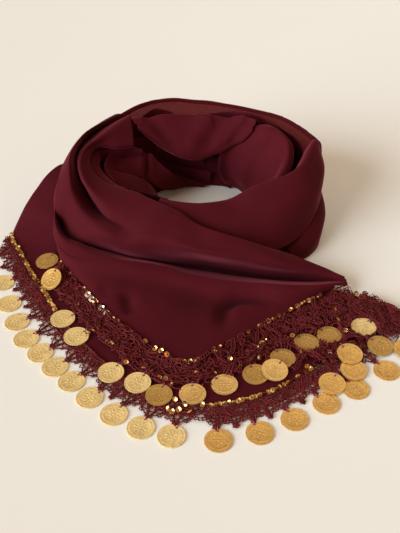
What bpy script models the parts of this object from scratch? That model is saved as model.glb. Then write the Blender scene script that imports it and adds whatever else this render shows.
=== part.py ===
"""A belly dance hip scarf, wound about two turns into a loop and laid on a table.

All the tables are in millimetres and degrees. A place on the cloth is given round the loop's upright
axis: its angle (0 = right, 90 = back, 180 = left, 270 = front), its distance from the axis and its
height over the table. Each visible stretch of the cloth is a wall lofted through a few sections.
"""
import math

import bmesh
import bpy
import numpy as np
from mathutils import Matrix, Vector
from mathutils.bvhtree import BVHTree

MM = 0.001
LOOP_AXIS = (-5.0, 80.0)      # where the loop's upright axis stands, x and y
CLOTH = 1.2                   # thickness of a cloth wall
GAP = 0.35                    # clearance where one piece lies on another
LAYER_CLEARANCE = 0.65        # clearance under a wall before its flat facets are counted
CORE_FREE_HEIGHT = 4.0        # height of the hidden turns where no cloth covers them
CORE_CLEARANCE = 1.4          # between the hidden turns and the cloth over them
CORE_LEAST_HEIGHT = 0.8
TRIM_GAP = 0.8                # from the hem's shown edge to the trim, beside the wall's sloping edge
COIN_RADIUS = 11.0
COIN_THICKNESS = 1.0
COIN_SIDES = 16
LACE_THICKNESS = 1.2
LACE_BAND = 9.5               # depth of the lace's straight band before its points begin
HOLE_PITCH = 12.5             # spacing of the openings along the lace's band
HOLE_SIZE = (6.6, 4.8)        # width and depth of such an opening

PLAIN_POINT_PITCH = 23.0      # where coins hang further apart, the trim has points without a coin
PLAIN_POINT_LENGTH = 23.0
POINT_HALF_WIDTH = 12.0       # a point's width to each side of its middle, where there is room
POINT_TIP_HALF_WIDTH = 1.7
TRIM_FALL = 12.0              # distance over which a lifted hem's trim comes down to its rest
LOWER_TRIM_START = (-192.0, 46.0)
LOWER_TIP = (3.0, -174.0)
TOP_TIP = (-11.0, -143.0)
TOP_TRIM_REST = 3.4           # height of the upper trim's shown side where it lies on the lower layer

# ---------------------------------------------------------------- sections of the cloth's stretches
# Columns: angle, then distance and height at the rim, the belly, the lower lip and the cloth turned
# back under it.
SWAG_SECTIONS = (
    (141, 86, 87.5, 82, 86, 77, 82.5, 78, 79.5),
    (133, 80, 88.5, 70, 82, 59, 67, 64, 63),
    (119, 71, 89, 56, 74, 44.5, 54, 51, 51),
    (98, 66, 87, 50, 70, 39.5, 48, 47, 45),
    (80, 66, 86, 51, 68, 41, 48, 48, 45),
    (65, 70, 87, 56, 72, 47, 53, 53, 51),
    (49, 77, 88, 71, 80, 65, 67, 69, 64),
    (38, 82, 88, 79, 85, 76, 80, 78, 77),
)
SWAG_TAIL = (5, -8)           # how far the cloth goes on behind the rim: distance, height

# Columns: angle, then distance and height at the rim, the waist, the belly and the toe.
INNER_DRAPE_SECTIONS = (
    (61, 61, 59, 52, 46, 53, 27, 70, 1.2),
    (48, 76, 75, 62, 58, 58, 34, 70, 1.2),
    (36, 86, 83, 73, 71, 62, 41, 67, 1.2),
    (24, 91, 86, 78, 76, 66, 46, 64, 1.2),
    (12, 95, 84, 83, 71, 68, 44, 60, 1.2),
    (0, 93, 74, 82, 59, 66, 34, 55, 1.2),
    (-14, 82, 59, 71, 43, 58, 24, 48, 1.2),
    (-34, 53, 43, 49, 32, 44, 18, 38, 1.2),
)
INNER_DRAPE_TAIL = (5, -5)

# Columns: angle, then distance and height at the top edge, the bulge and the toe.
INNER_TURN_SECTIONS = (
    (234, 45, 50, 39, 26, 37, 1.2),
    (215, 56, 54, 44, 28, 38, 1.2),
    (198, 76, 57, 56, 30, 42, 1.2),
    (182, 90, 61, 68, 36, 48, 1.2),
    (166, 90, 65, 73, 40, 55, 1.2),
    (150, 78, 64, 66, 34, 60, 1.2),
    (134, 66, 48, 61, 26, 62, 1.2),
    (114, 63, 32, 60, 18, 62, 1.2),
    (92, 62, 22, 60, 12, 61, 1.2),
    (74, 64, 18, 62, 10, 64, 1.2),
)

# Columns: angle, then distance and height at the rim, the shoulder and the foot.
OUTER_LAYER_SECTIONS = (
    (5.8, 120, 88, 130, 66, 129, 1.2),
    (14, 113, 90, 126, 60, 126, 1.2),
    (30, 104, 91, 117, 56, 119, 1.2),
    (50, 92, 91, 107, 54, 111, 1.2),
    (70, 86, 92, 103, 54, 107, 1.2),
    (88, 87, 92, 103, 54, 106, 1.2),
    (104, 92, 93, 105, 54, 107, 1.2),
    (118, 96, 93, 108, 56, 109, 1.2),
    (134, 97, 91, 110, 56, 112, 1.2),
    (148, 101, 85, 113, 54, 116, 1.2),
    (162, 104, 70, 114, 44, 117, 1.2),
    (176, 108, 52, 115, 32, 118, 1.2),
    (188, 110, 36, 116, 22, 119, 1.2),
)
OUTER_LAYER_TAIL = (-4, -8)

# Columns: angle, then distance and height at the inner edge, the rim, the shoulder and the lower edge.
RIGHT_WRAP_SECTIONS = (
    (5.3, 110, 74, 119, 88, 129, 70, 130, 47),
    (-3, 103, 72, 112, 87, 128, 70, 129, 43),
    (-14, 97, 68, 105, 81, 123, 62, 126, 36),
    (-34, 62, 54, 69, 66, 98, 56, 118, 22),
    (-55, 51, 46, 57, 57, 82, 48, 108, 24),
    (-80, 48, 46, 54, 57, 64, 55, 82, 38),
    (-104, 49, 48, 55, 58, 60, 57, 70, 50),
    (-124, 51, 51, 57, 58.5, 61, 58, 68, 53),
)

# Columns: angle, then distance and height at the hidden top, the belly and the foot.
BASE_FOLD_SECTIONS = (
    (4, 122, 50, 132, 26, 131, 1.2),
    (-5, 120, 48, 134, 24, 132, 1.2),
    (-14, 117, 41, 134, 20, 132.5, 1.2),
    (-26, 110, 32, 131, 15, 132, 1.2),
    (-33, 106, 25, 125, 12, 128, 1.2),
    (-38, 104, 20, 118, 10, 122, 1.2),
)

# The broad turn from the left shoulder across the front to the right corner.
# Columns: angle, distance and height at each of seven lines along it: the cloth turned in behind the
# inner rim, that rim, the crown beside it, the valley, the outer ridge, the flank, and the lower edge
# in the crease over the point.
FRONT_DRAPE_SECTIONS = (
    ((142, 75, 70), (142, 84, 85), (142, 88, 89), (142, 93, 90), (143, 98, 92), (144, 103, 88),
     (145, 107, 80)),
    ((157, 85, 69), (158, 94, 78), (158, 97, 80), (159, 101, 80), (159, 107, 89), (161, 116, 82),
     (163, 121, 70)),
    ((172, 94, 66), (174, 103, 73), (175, 107, 77), (176, 112, 74), (176, 117, 86), (177, 127, 75),
     (178, 133, 62)),
    ((183, 92, 62), (186, 97, 67), (187, 104, 71), (188, 112, 62), (187, 123, 77), (189, 137, 60),
     (191, 143, 45)),
    ((194, 82, 57), (197, 85, 62), (199, 96, 64), (200, 108, 50), (197, 130, 58), (198, 143, 42),
     (201, 146, 31)),
    ((207, 67, 56), (209, 70, 60.5), (211, 86, 59), (212, 103, 42), (207, 125, 42), (207, 135, 35),
     (208, 138, 28)),
    ((228, 57, 57), (228, 60, 60.5), (229, 73, 59), (229, 91, 44), (226, 103, 34), (226, 109, 27),
     (227, 112, 23)),
    ((247, 61, 58.5), (247, 62, 60), (247, 75, 56), (246, 88, 43), (246, 97, 32), (246, 100, 26),
     (246, 102, 21)),
    ((270, 75, 51.5), (270, 76, 53), (271, 88, 48), (272, 99, 38), (273, 107, 28), (273, 110, 23),
     (273, 111, 19)),
    ((290, 95, 44.5), (290, 96, 46), (291, 106, 41), (292, 115, 33), (293, 123, 25), (293, 127, 21),
     (293, 129, 18)),
    ((304, 114, 36.5), (304, 115, 38), (305, 124, 34), (306, 133, 28), (307, 142, 21), (307, 146, 18),
     (307.5, 149, 15.5)),
    ((313.5, 135, 27.5), (313.5, 136, 29), (314, 142, 26), (314, 149, 22), (314.5, 156, 17),
     (314.5, 160, 14.5), (315, 163, 13)),
    ((319.4, 160.5, 19), (319, 161, 20), (319, 163, 19), (319, 166, 17), (318.5, 169, 14.5),
     (318.5, 171, 13), (318, 174, 11.5)),
    ((321.6, 178.5, 13.4), (321.3, 179, 14), (321, 180, 13.4), (321, 181, 12.6), (320.8, 182, 11.6),
     (320.6, 183, 11), (320.4, 184, 10.4)),
)

# The upper point of the scarf. Columns: x, y and height at the hidden inner edge under the crease, at
# the middle, and at the hem.
TOP_POINT_SECTIONS = (
    (-132, 30, 22, -139, 16, 16, -136, 0, 7),
    (-116, 13, 22, -122, -8, 16, -114, -33, 7),
    (-94, 6, 20.5, -99, -30, 15, -90, -64, 7),
    (-70, 4, 18.5, -74, -40, 14, -70, -86, 7),
    (-42, -4, 16.5, -45, -54, 13, -47, -109, 7),
    (-16, -12, 15, -18, -66, 12, -30, -127, 7),
    (4, -20, 14.5, -2, -76, 11, -11, -143, 7),
    (24, -27, 14, 20, -70, 11.5, 14, -122, 7),
    (46, -31, 13, 44, -62, 11.5, 43, -97, 7),
    (84, -34, 11, 80, -52, 10.5, 78, -72, 7),
    (114, -33, 9.5, 113, -42, 9, 112, -49, 7),
    (129, -31, 8.5, 134, -33, 8, 138, -35, 7),
)

# The lower layer of the point: it spreads from behind the loop's left shoulder down to the table and
# lies flat there. Columns: x, y and height at its hidden inner edge, and at its free edge or hem.
LOWER_POINT_SECTIONS = (
    (-120, 97, 50, -128, 103, 54),
    (-125, 85, 43, -143, 97, 56),
    (-129, 71, 35, -156, 88, 50),
    (-133, 58, 27, -167, 79, 39),
    (-136, 46, 19, -177, 68, 28),
    (-137, 34, 12, -186, 60, 14),
    (-136, 22, 7, -192, 46, 2.6),
    (-133, 8, 2.6, -179, 20, 1.3),
    (-124, -10, 1.9, -162, -12, 1.3),
    (-108, -30, 1.7, -146, -38, 1.3),
    (-88, -55, 1.7, -131, -64, 1.3),
    (-66, -78, 1.7, -99, -106, 1.3),
    (-42, -101, 1.7, -60, -146, 1.3),
    (-16, -126, 1.7, -24, -168, 1.3),
    (8, -118, 1.7, 3, -174, 1.3),
    (38, -90, 1.7, 50, -163, 1.3),
    (72, -66, 1.7, 86, -140, 1.3),
    (104, -46, 1.7, 137, -98, 1.3),
    (128, -36, 1.7, 176, -60, 1.3),
)

# Where the upper trim goes on past the right corner. Columns: x, y and height.
CORNER_LINE = ((151, -46, 6.2), (160, -53, 5.9), (170, -60, 4.8), (181, -68, 3.3), (190, -74, 3.0))

# The hidden turns. Columns: angle, and the distances between which they fill the loop.
CORE_FOOTPRINT = (
    (-25, 48, 114), (-12, 54, 118), (0, 60, 122), (20, 69, 113), (42, 75, 104), (58, 75, 101),
    (72, 70, 100),
    (90, 66, 99), (110, 66, 100), (130, 66, 105), (150, 64, 109), (170, 58, 113), (185, 52, 116),
    (200, 46, 128), (212, 42, 138), (226, 41, 142), (238, 41, 150), (249, 41, 161), (258, 40, 176),
    (267, 39, 196), (274, 38, 188), (284, 38, 166), (298, 38, 154), (309, 38, 148), (316, 40, 118),
    (327, 44, 108),
)

# ---------------------------------------------------------------- coins
# Columns: x and y of the coin's centre. Each hangs from its own point of the trim.
LOWER_COINS_LEFT = (
    (-188, -25), (-176, -54), (-164, -78), (-152, -99), (-137, -116), (-122, -132), (-106, -148),
    (-89, -165), (-68, -182), (-46, -195), (-22, -203),
)
LOWER_COINS_RIGHT = (
    (14, -207), (46, -200), (74, -187), (101, -171), (127, -156), (156, -136),
)
TOP_COINS_LEFT = ((-123, -76), (-108, -98), (-74, -140), (-51, -151), (-33, -164))
TOP_COINS_RIGHT = ((-6, -163), (20, -153), (46, -142), (70, -124), (92, -106), (113, -97))
CORNER_COINS = ((144, -89), (177, -113))
TOP_COIN_REST = TOP_TRIM_REST - LACE_THICKNESS
CORNER_COIN_RESTS = (4.8, 1.9)
# Coins that lie loose on the trim. Columns: x, y, height of the underside, tilt, and the direction
# in which the coin's lower side looks.
LOOSE_COINS = (
    (-149, 2, 3.8, 6, 200), (-140, -28, 1.6, 32, 225), (108, -152, 1.3, 4, 270),
    (127, -121, 3.6, 5, 300), (62, -139, 2.6, 8, 300), (128, -137, 1.25, 4, 300), (155, -110, 1.8, 5, 300),
)


# ---------------------------------------------------------------- curves and lofts
def smooth(knots, values, wanted):
    """Values at the wanted places on a smooth curve through the knots."""
    knots = np.asarray(knots, float)
    values = np.asarray(values, float)
    flat = values.reshape(len(knots), -1)
    steps = np.diff(knots)[:, None]
    slopes = np.diff(flat, axis=0) / steps
    tangents = np.empty_like(flat)
    tangents[0] = slopes[0]
    tangents[-1] = slopes[-1]
    tangents[1:-1] = (slopes[:-1] * steps[1:] + slopes[1:] * steps[:-1]) / (steps[1:] + steps[:-1])
    span = np.clip(np.searchsorted(knots, wanted, side="right") - 1, 0, len(knots) - 2)
    width = steps[span]
    t = (np.asarray(wanted, float)[:, None] - knots[span][:, None]) / width
    result = (
        flat[span] * (2 * t**3 - 3 * t**2 + 1)
        + tangents[span] * width * (t**3 - 2 * t**2 + t)
        + flat[span + 1] * (3 * t**2 - 2 * t**3)
        + tangents[span + 1] * width * (t**3 - t**2)
    )
    return result.reshape((len(t),) + values.shape[1:])


def chord_knots(points):
    """Knots spaced by the mean distance between neighbouring rows of points."""
    gaps = np.linalg.norm(np.diff(points, axis=0), axis=-1)
    if gaps.ndim > 1:
        gaps = gaps.mean(axis=1)
    return np.concatenate(([0.0], np.cumsum(gaps)))


def evenly(knots, count):
    return np.linspace(knots[0], knots[-1], count + 1)


def round_axis(places):
    """Turn angle, distance and height into x, y and z."""
    angle = np.radians(places[..., 0])
    x = LOOP_AXIS[0] + places[..., 1] * np.cos(angle)
    y = LOOP_AXIS[1] + places[..., 1] * np.sin(angle)
    return np.stack((x, y, places[..., 2]), axis=-1)


def radial_sections(rows):
    """Sections whose lines all stand at the row's own angle: rows x lines x (angle, distance, height)."""
    rows = np.asarray(rows, float)
    pairs = rows[:, 1:].reshape(len(rows), -1, 2)
    angles = np.repeat(rows[:, :1, None], pairs.shape[1], axis=1)
    return np.concatenate((angles, pairs), axis=2)


def loft(sections, along, across, polar=True):
    """A grid of points, along x across, on the smooth sheet through all the sections."""
    sections = np.asarray(sections, float)
    in_space = round_axis(sections) if polar else sections
    rows = chord_knots(in_space)
    lengthwise = smooth(rows, sections, evenly(rows, along))
    in_space = round_axis(lengthwise) if polar else lengthwise
    lines = chord_knots(np.swapaxes(in_space, 0, 1))
    sheet = smooth(lines, np.swapaxes(lengthwise, 0, 1), evenly(lines, across))
    sheet = np.swapaxes(sheet, 0, 1)
    return round_axis(sheet) if polar else sheet


def with_tail(rows, tail):
    """Sections with one more line behind the first, at a fixed step from it."""
    sections = radial_sections(rows)
    line = sections[:, :1] + np.array((0.0, *tail))
    return np.concatenate((line, sections), axis=1)


# ---------------------------------------------------------------- building cloth
def finish(name, colour, roughness, metallic=0.0):
    material = bpy.data.materials.new(name)
    material.use_nodes = True
    shader = material.node_tree.nodes["Principled BSDF"]
    shader.inputs["Base Color"].default_value = (*colour, 1.0)
    shader.inputs["Roughness"].default_value = roughness
    shader.inputs["Metallic"].default_value = metallic
    material.diffuse_color = (*colour, 1.0)
    return material


def sheet_normals(points):
    """Unit normals of a grid of points."""
    lengthwise = np.gradient(points, axis=0)
    crosswise = np.gradient(points, axis=1)
    normals = np.cross(lengthwise, crosswise)
    return normals / np.maximum(np.linalg.norm(normals, axis=2, keepdims=True), 1e-9)


def looks_right(points, facing):
    """Whether the grid's normals already look outward, inward or up."""
    normals = sheet_normals(points)
    if facing == "up":
        agree = normals[..., 2].mean()
    else:
        from_axis = points[..., :2] - np.array(LOOP_AXIS)
        agree = (normals[..., :2] * from_axis).sum(axis=2).mean()
        agree = agree if facing == "out" else -agree
    return agree > 0


def tree_of(objects):
    """One search tree over the finished solids of some objects, in millimetres."""
    vertices = []
    faces = []
    scene = bpy.context.evaluated_depsgraph_get()
    for item in objects:
        mesh = item.evaluated_get(scene).to_mesh()
        base = len(vertices)
        vertices += [tuple(item.matrix_world @ v.co / MM) for v in mesh.vertices]
        faces += [tuple(base + i for i in face.vertices) for face in mesh.polygons]
    return BVHTree.FromPolygons(vertices, faces)


def neighbours_mean(values):
    padded = np.pad(values, 1, mode="edge")
    return (padded[:-2, 1:-1] + padded[2:, 1:-1] + padded[1:-1, :-2] + padded[1:-1, 2:] + values) / 5


def lay_over(points, under, reach=6.0, rounds=4):
    """Move a sheet's points out, softly, until its underside clears the pieces that it lies on."""
    if not under:
        return points
    tree = tree_of(under)
    need = CLOTH + LAYER_CLEARANCE
    for _ in range(rounds):
        normals = sheet_normals(points)
        lift = np.zeros(points.shape[:2])
        for place in np.ndindex(lift.shape):
            normal = Vector(normals[place])
            hit = tree.ray_cast(Vector(points[place]) + normal * reach, -normal, reach + need)
            if hit[0] is not None:
                lift[place] = max(0.0, need + reach - hit[3])
        spread = lift
        for _ in range(4):
            spread = np.maximum(lift, neighbours_mean(spread))
        points = points + normals * spread[..., None]
    return points


def face_corners(item):
    mesh = item.evaluated_get(bpy.context.evaluated_depsgraph_get()).to_mesh()
    return [tuple(face.vertices) for face in mesh.polygons]


def part_from(wall, under, normals, push=0.25, tries=40):
    """Ease a wall's points out, a little at a time, until it cuts none of the pieces under it."""
    tree = tree_of(under)
    vertices = wall.data.vertices
    count = len(vertices)
    for _ in range(tries):
        pairs = tree_of([wall]).overlap(tree)
        if not pairs:
            return
        corners = face_corners(wall)
        touched = {corner % count for face, _other in pairs for corner in corners[face]}
        for index in touched:
            vertices[index].co += Vector(normals[index]) * push * MM
        wall.data.update()
        bpy.context.view_layer.update()


def cloth_wall(name, points, material, facing, under=(), thickness=CLOTH):
    """A closed wall of even thickness whose shown side runs through the points."""
    turned = not looks_right(points, facing)
    points = lay_over(points[:, ::-1] if turned else points, under)
    points[..., 2] = np.maximum(points[..., 2], thickness)
    rows, columns = points.shape[:2]
    mesh = bpy.data.meshes.new(name)
    build = bmesh.new()
    bmesh.ops.create_grid(build, x_segments=rows - 1, y_segments=columns - 1, size=1.0)
    build.verts.ensure_lookup_table()
    order = sorted(build.verts, key=lambda v: (round(v.co.x, 5), round(v.co.y, 5)))
    for vertex, place in zip(order, points.reshape(-1, 3)):
        vertex.co = Vector(place) * MM
    build.to_mesh(mesh)
    build.free()
    mesh.shade_smooth()
    wall = bpy.data.objects.new(name, mesh)
    bpy.context.collection.objects.link(wall)
    mesh.materials.append(material)
    solid = wall.modifiers.new("Cloth thickness", "SOLIDIFY")
    solid.thickness = thickness * MM
    solid.offset = -1.0
    wall.modifiers.new("Fixed triangles", "TRIANGULATE").quad_method = "FIXED"
    bpy.context.view_layer.update()
    if under:
        part_from(wall, under, sheet_normals(points).reshape(-1, 3))
    return {"wall": wall, "hem": points[:, 0 if turned else -1]}


# ---------------------------------------------------------------- the stretches of cloth
def build_cloth(burgundy):
    """All visible stretches, from the innermost layer to the outermost."""
    made = {}

    def stretch(name, points, facing, under=()):
        made[name] = cloth_wall(name, points, burgundy, facing, [made[n]["wall"] for n in under])

    stretch("inner_turn", loft(radial_sections(INNER_TURN_SECTIONS), 30, 6), "in")
    stretch("right_inner_drape", loft(with_tail(INNER_DRAPE_SECTIONS, INNER_DRAPE_TAIL), 16, 10), "in",
            ["inner_turn"])
    stretch("back_swag", loft(with_tail(SWAG_SECTIONS, SWAG_TAIL), 20, 11), "in",
            ["inner_turn", "right_inner_drape"])
    stretch("outer_layer", loft(with_tail(OUTER_LAYER_SECTIONS, OUTER_LAYER_TAIL), 30, 8), "out")
    stretch("right_base_fold", loft(radial_sections(BASE_FOLD_SECTIONS), 12, 6), "out")
    stretch("right_wrap", loft(radial_sections(RIGHT_WRAP_SECTIONS), 24, 10), "out",
            ["right_base_fold", "right_inner_drape"])
    lower = np.asarray(LOWER_POINT_SECTIONS, float).reshape(-1, 2, 3)
    stretch("lower_point", loft(lower, 44, 4, polar=False), "up", ["outer_layer"])
    top = np.asarray(TOP_POINT_SECTIONS, float).reshape(-1, 3, 3)
    stretch("top_point", loft(top, 26, 8, polar=False), "up", ["lower_point"])
    stretch("front_drape", loft(FRONT_DRAPE_SECTIONS, 34, 14), "up",
            ["top_point", "right_wrap", "right_base_fold", "inner_turn", "back_swag", "outer_layer",
             "lower_point"])
    return made


def core_faces(angles, rings):
    """The triangles of the core's top, its flat underside and its two rims."""
    count = angles * rings
    faces = []
    for i in range(angles):
        row, ahead = i * rings, (i + 1) % angles * rings
        for j in range(rings - 1):
            a, b = row + j, ahead + j
            faces += [(a, a + 1, b + 1), (a, b + 1, b)]
            faces += [(count + a, count + b + 1, count + a + 1), (count + a, count + b, count + b + 1)]
        inner, outer = (row, ahead), (row + rings - 1, ahead + rings - 1)
        faces.append((inner[0], inner[1], count + inner[1], count + inner[0]))
        faces.append((outer[1], outer[0], count + outer[0], count + outer[1]))
    return faces


def build_core(burgundy, cloth, angles=44, rings=9, lowering=1.0, tries=60):
    """The hidden turns: one rounded solid with a flat underside, just under the cloth that shows."""
    footprint = np.asarray(CORE_FOOTPRINT, float)
    footprint = np.vstack((footprint, footprint[0] + (360, 0, 0)))
    turn = np.linspace(footprint[0, 0], footprint[-1, 0], angles + 1)[:-1]
    inner, outer = smooth(footprint[:, 0], footprint[:, 1:], turn).T
    tree = tree_of(cloth)
    ceiling = np.full((angles, rings), CORE_FREE_HEIGHT)
    places = np.empty((angles, rings, 3))
    for i, j in np.ndindex(angles, rings):
        share = j / (rings - 1)
        places[i, j] = round_axis(np.array((turn[i], inner[i] + (outer[i] - inner[i]) * share, 0.0)))
        hit = tree.ray_cast(Vector(places[i, j]) - Vector((0, 0, 1)), Vector((0, 0, 1)))
        if hit[0] is not None:
            ceiling[i, j] = hit[0].z
    beside = np.pad(ceiling, ((0, 0), (1, 1)), mode="edge")
    lowest = np.minimum.reduce((ceiling, beside[:, :-2], beside[:, 2:], np.roll(ceiling, 1, axis=0),
                                np.roll(ceiling, -1, axis=0)))
    places[..., 2] = np.maximum((lowest + ceiling) / 2 - CORE_CLEARANCE, CORE_LEAST_HEIGHT)
    top = places.reshape(-1, 3)
    floor = top * (1, 1, 0)
    count = len(top)
    faces = core_faces(angles, rings)
    for _ in range(tries):
        solid = BVHTree.FromPolygons([tuple(v) for v in np.vstack((top, floor))], faces)
        touched = {v for face, _other in solid.overlap(tree) for v in faces[face] if v < count}
        if not touched:
            break
        for vertex in touched:
            top[vertex, 2] = max(top[vertex, 2] - lowering, CORE_LEAST_HEIGHT)
    mesh = bpy.data.meshes.new("wrap_core")
    mesh.from_pydata([tuple(v * MM) for v in np.vstack((top, floor))], [], faces)
    mesh.materials.append(burgundy)
    core = bpy.data.objects.new("wrap_core", mesh)
    bpy.context.collection.objects.link(core)
    return core


# ---------------------------------------------------------------- the trim
class Hem:
    """A cloth's edge that the trim is sewn to, as its own points with their outward directions."""

    def __init__(self, points):
        self.line = np.asarray(points, float)
        self.places = chord_knots(self.line)
        ahead = np.diff(self.line[:, :2], axis=0)
        ahead /= np.linalg.norm(ahead, axis=1, keepdims=True)
        ahead = np.vstack((ahead[:1], ahead[1:] + ahead[:-1], ahead[-1:]))
        ahead /= np.linalg.norm(ahead, axis=1, keepdims=True)
        self.out = np.column_stack((ahead[:, 1], -ahead[:, 0]))

    def at(self, place, distance):
        """x, y and height of the point at a place along the hem and a distance outside it."""
        point = [np.interp(place, self.places, self.line[:, k]) for k in range(3)]
        out = np.array([np.interp(place, self.places, self.out[:, k]) for k in range(2)])
        return np.array((point[0] + out[0] * distance, point[1] + out[1] * distance, point[2]))

    def nearest(self, spot):
        """The place along the hem and the distance outside it of a spot on the table."""
        fine = np.arange(0.0, self.places[-1], 1.0)
        reach = np.array([self.at(place, 0.0)[:2] for place in fine]) - spot
        distance = np.linalg.norm(reach, axis=1)
        return fine[distance.argmin()], distance.min()


def opening(centre, width, depth, sides=6):
    """The outline of one opening in the trim."""
    return [(centre[0] + width / 2 * math.cos(math.tau * k / sides),
             centre[1] + depth / 2 * math.sin(math.tau * k / sides)) for k in range(sides)]


def trim_points(hem, coins, start, end):
    """Where the trim's points stand: their place, their length and the room to each side."""
    hung = sorted(hem.nearest(coin) for coin in coins)
    stand = [(place, distance - COIN_RADIUS - GAP) for place, distance in hung]
    marks = [start] + [place for place, _ in stand] + [end]
    for left, right in zip(marks, marks[1:]):
        plain = int((right - left) / PLAIN_POINT_PITCH)
        stand += [(left + (right - left) * (k + 1) / (plain + 1), PLAIN_POINT_LENGTH) for k in range(plain)]
    stand = [point for point in sorted(stand) if start + 3 < point[0] < end - 3]
    marks = [start] + [place for place, _ in stand] + [end]
    room = [(min(POINT_HALF_WIDTH, 0.46 * (here - before)), min(POINT_HALF_WIDTH, 0.46 * (after - here)))
            for before, here, after in zip(marks, marks[1:], marks[2:])]
    return [(*point, *sides) for point, sides in zip(stand, room)]


def trim_outline(hem, coins, start, end):
    """The outlines of the trim, laid out flat: distance along the hem, distance outside it."""
    inside = [place for place in hem.places if start + 1.5 < place < end - 1.5]
    edge = [(place, TRIM_GAP) for place in [start] + inside + [end]]
    border = []
    openings = []
    for place, tip, left, right in trim_points(hem, coins, start, end):
        middle = LACE_BAND + 0.55 * (tip - LACE_BAND)
        border += [(place - left, LACE_BAND), (place - 0.62 * left, middle),
                   (place - POINT_TIP_HALF_WIDTH, tip), (place + POINT_TIP_HALF_WIDTH, tip),
                   (place + 0.62 * right, middle), (place + right, LACE_BAND)]
        if tip > LACE_BAND + 6 and min(left, right) > 5.5:
            openings.append([(place - 0.5 * left, LACE_BAND + 1.6), (place, LACE_BAND + 0.4),
                             (place + 0.5 * right, LACE_BAND + 1.6), (place, middle + 2.0)])
    border = [point for point in border if start + 0.5 < point[0] < end - 0.5]
    border = [(start, LACE_BAND)] + border + [(end, LACE_BAND)]
    place = start + HOLE_PITCH / 2
    while place < end - HOLE_PITCH / 2:
        openings.append(opening((place, 0.52 * LACE_BAND), *HOLE_SIZE))
        place += HOLE_PITCH
    return [edge + border[::-1]] + openings


def build_trim(name, thread, hem, coins, rest, start, end):
    """A strip of open trim along a hem, with a point for each coin, that settles to its resting height."""
    build = bmesh.new()
    edges = []
    for outline in trim_outline(hem, coins, start, end):
        corners = [build.verts.new((x, y, 0.0)) for x, y in outline]
        edges += [build.edges.new((a, b)) for a, b in zip(corners, corners[1:] + corners[:1])]
    bmesh.ops.triangle_fill(build, use_beauty=True, edges=edges, normal=(0, 0, 1))
    for vertex in build.verts:
        place, distance = vertex.co.x, vertex.co.y
        point = hem.at(place, distance)
        settled = min(1.0, max(0.0, distance - TRIM_GAP) / TRIM_FALL)
        if rest is not None:
            point[2] += (rest - point[2]) * (1 - (1 - settled) ** 2)
        vertex.co = Vector(point) * MM
    bmesh.ops.recalc_face_normals(build, faces=build.faces)
    if sum(face.normal.z for face in build.faces) < 0:
        bmesh.ops.reverse_faces(build, faces=build.faces)
    mesh = bpy.data.meshes.new(name)
    build.to_mesh(mesh)
    build.free()
    mesh.materials.append(thread)
    strip = bpy.data.objects.new(name, mesh)
    bpy.context.collection.objects.link(strip)
    solid = strip.modifiers.new("Thread thickness", "SOLIDIFY")
    solid.thickness = LACE_THICKNESS * MM
    solid.offset = -1.0
    bpy.context.view_layer.update()


def build_all_trim(thread, cloth):
    """The trim of both layers of the point, each in two pieces that meet at its tip."""
    lower, top = Hem(cloth["lower_point"]["hem"]), Hem(cloth["top_point"]["hem"])
    lower_start = lower.nearest(LOWER_TRIM_START)[0]
    lower_tip, top_tip = lower.nearest(LOWER_TIP)[0], top.nearest(TOP_TIP)[0]
    build_trim("lower_trim_left", thread, lower, LOWER_COINS_LEFT, LACE_THICKNESS,
               lower_start, lower_tip - GAP)
    build_trim("lower_trim_right", thread, lower, LOWER_COINS_RIGHT, LACE_THICKNESS,
               lower_tip + GAP, lower.places[-1] - 1)
    build_trim("top_trim_left", thread, top, TOP_COINS_LEFT, TOP_TRIM_REST, 1.0, top_tip - GAP)
    build_trim("top_trim_right", thread, top, TOP_COINS_RIGHT, TOP_TRIM_REST, top_tip + GAP,
               top.places[-1] - 1)
    corner = Hem(CORNER_LINE)
    build_trim("corner_trim", thread, corner, CORNER_COINS, None, 0.5, corner.places[-1] - 0.5)


def add_coin(name, mesh, place, tilt, towards):
    coin = bpy.data.objects.new(name, mesh)
    bpy.context.collection.objects.link(coin)
    slope = math.radians(tilt)
    rise = COIN_RADIUS * math.sin(slope) + COIN_THICKNESS / 2 * math.cos(slope)
    turn = Matrix.Rotation(math.radians(towards), 4, "Z") @ Matrix.Rotation(slope, 4, "Y")
    coin.matrix_world = Matrix.Translation(Vector((place[0], place[1], place[2] + rise)) * MM) @ turn


def build_coins(brass):
    """All the coins, numbered along the lower trim, the upper trim, the corner and the loose ones."""
    shape = bmesh.new()
    bmesh.ops.create_cone(shape, cap_ends=True, segments=COIN_SIDES, radius1=COIN_RADIUS * MM,
                          radius2=COIN_RADIUS * MM, depth=COIN_THICKNESS * MM)
    mesh = bpy.data.meshes.new("coin")
    shape.to_mesh(mesh)
    shape.free()
    mesh.materials.append(brass)
    rows = [(x, y, 0.0, 0.0, 0.0) for x, y in LOWER_COINS_LEFT + LOWER_COINS_RIGHT]
    rows += [(x, y, TOP_COIN_REST, 0.0, 0.0) for x, y in TOP_COINS_LEFT + TOP_COINS_RIGHT]
    rows += [(x, y, rest, 0.0, 0.0) for (x, y), rest in zip(CORNER_COINS, CORNER_COIN_RESTS)]
    rows += LOOSE_COINS
    for number, row in enumerate(rows, start=1):
        add_coin(f"coin_{number:02d}", mesh, row[:3], row[3], row[4])


def stand_on_table():
    """Bring the bottom centre of the whole object's box to the origin."""
    scene = bpy.context.evaluated_depsgraph_get()
    corners = []
    for item in bpy.data.objects:
        mesh = item.evaluated_get(scene).to_mesh()
        corners += [item.matrix_world @ v.co for v in mesh.vertices]
    corners = np.array(corners)
    low, high = corners.min(axis=0), corners.max(axis=0)
    shift = Vector((-(low[0] + high[0]) / 2, -(low[1] + high[1]) / 2, -low[2]))
    for item in bpy.data.objects:
        item.matrix_world = Matrix.Translation(shift) @ item.matrix_world
    return shift


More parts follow.
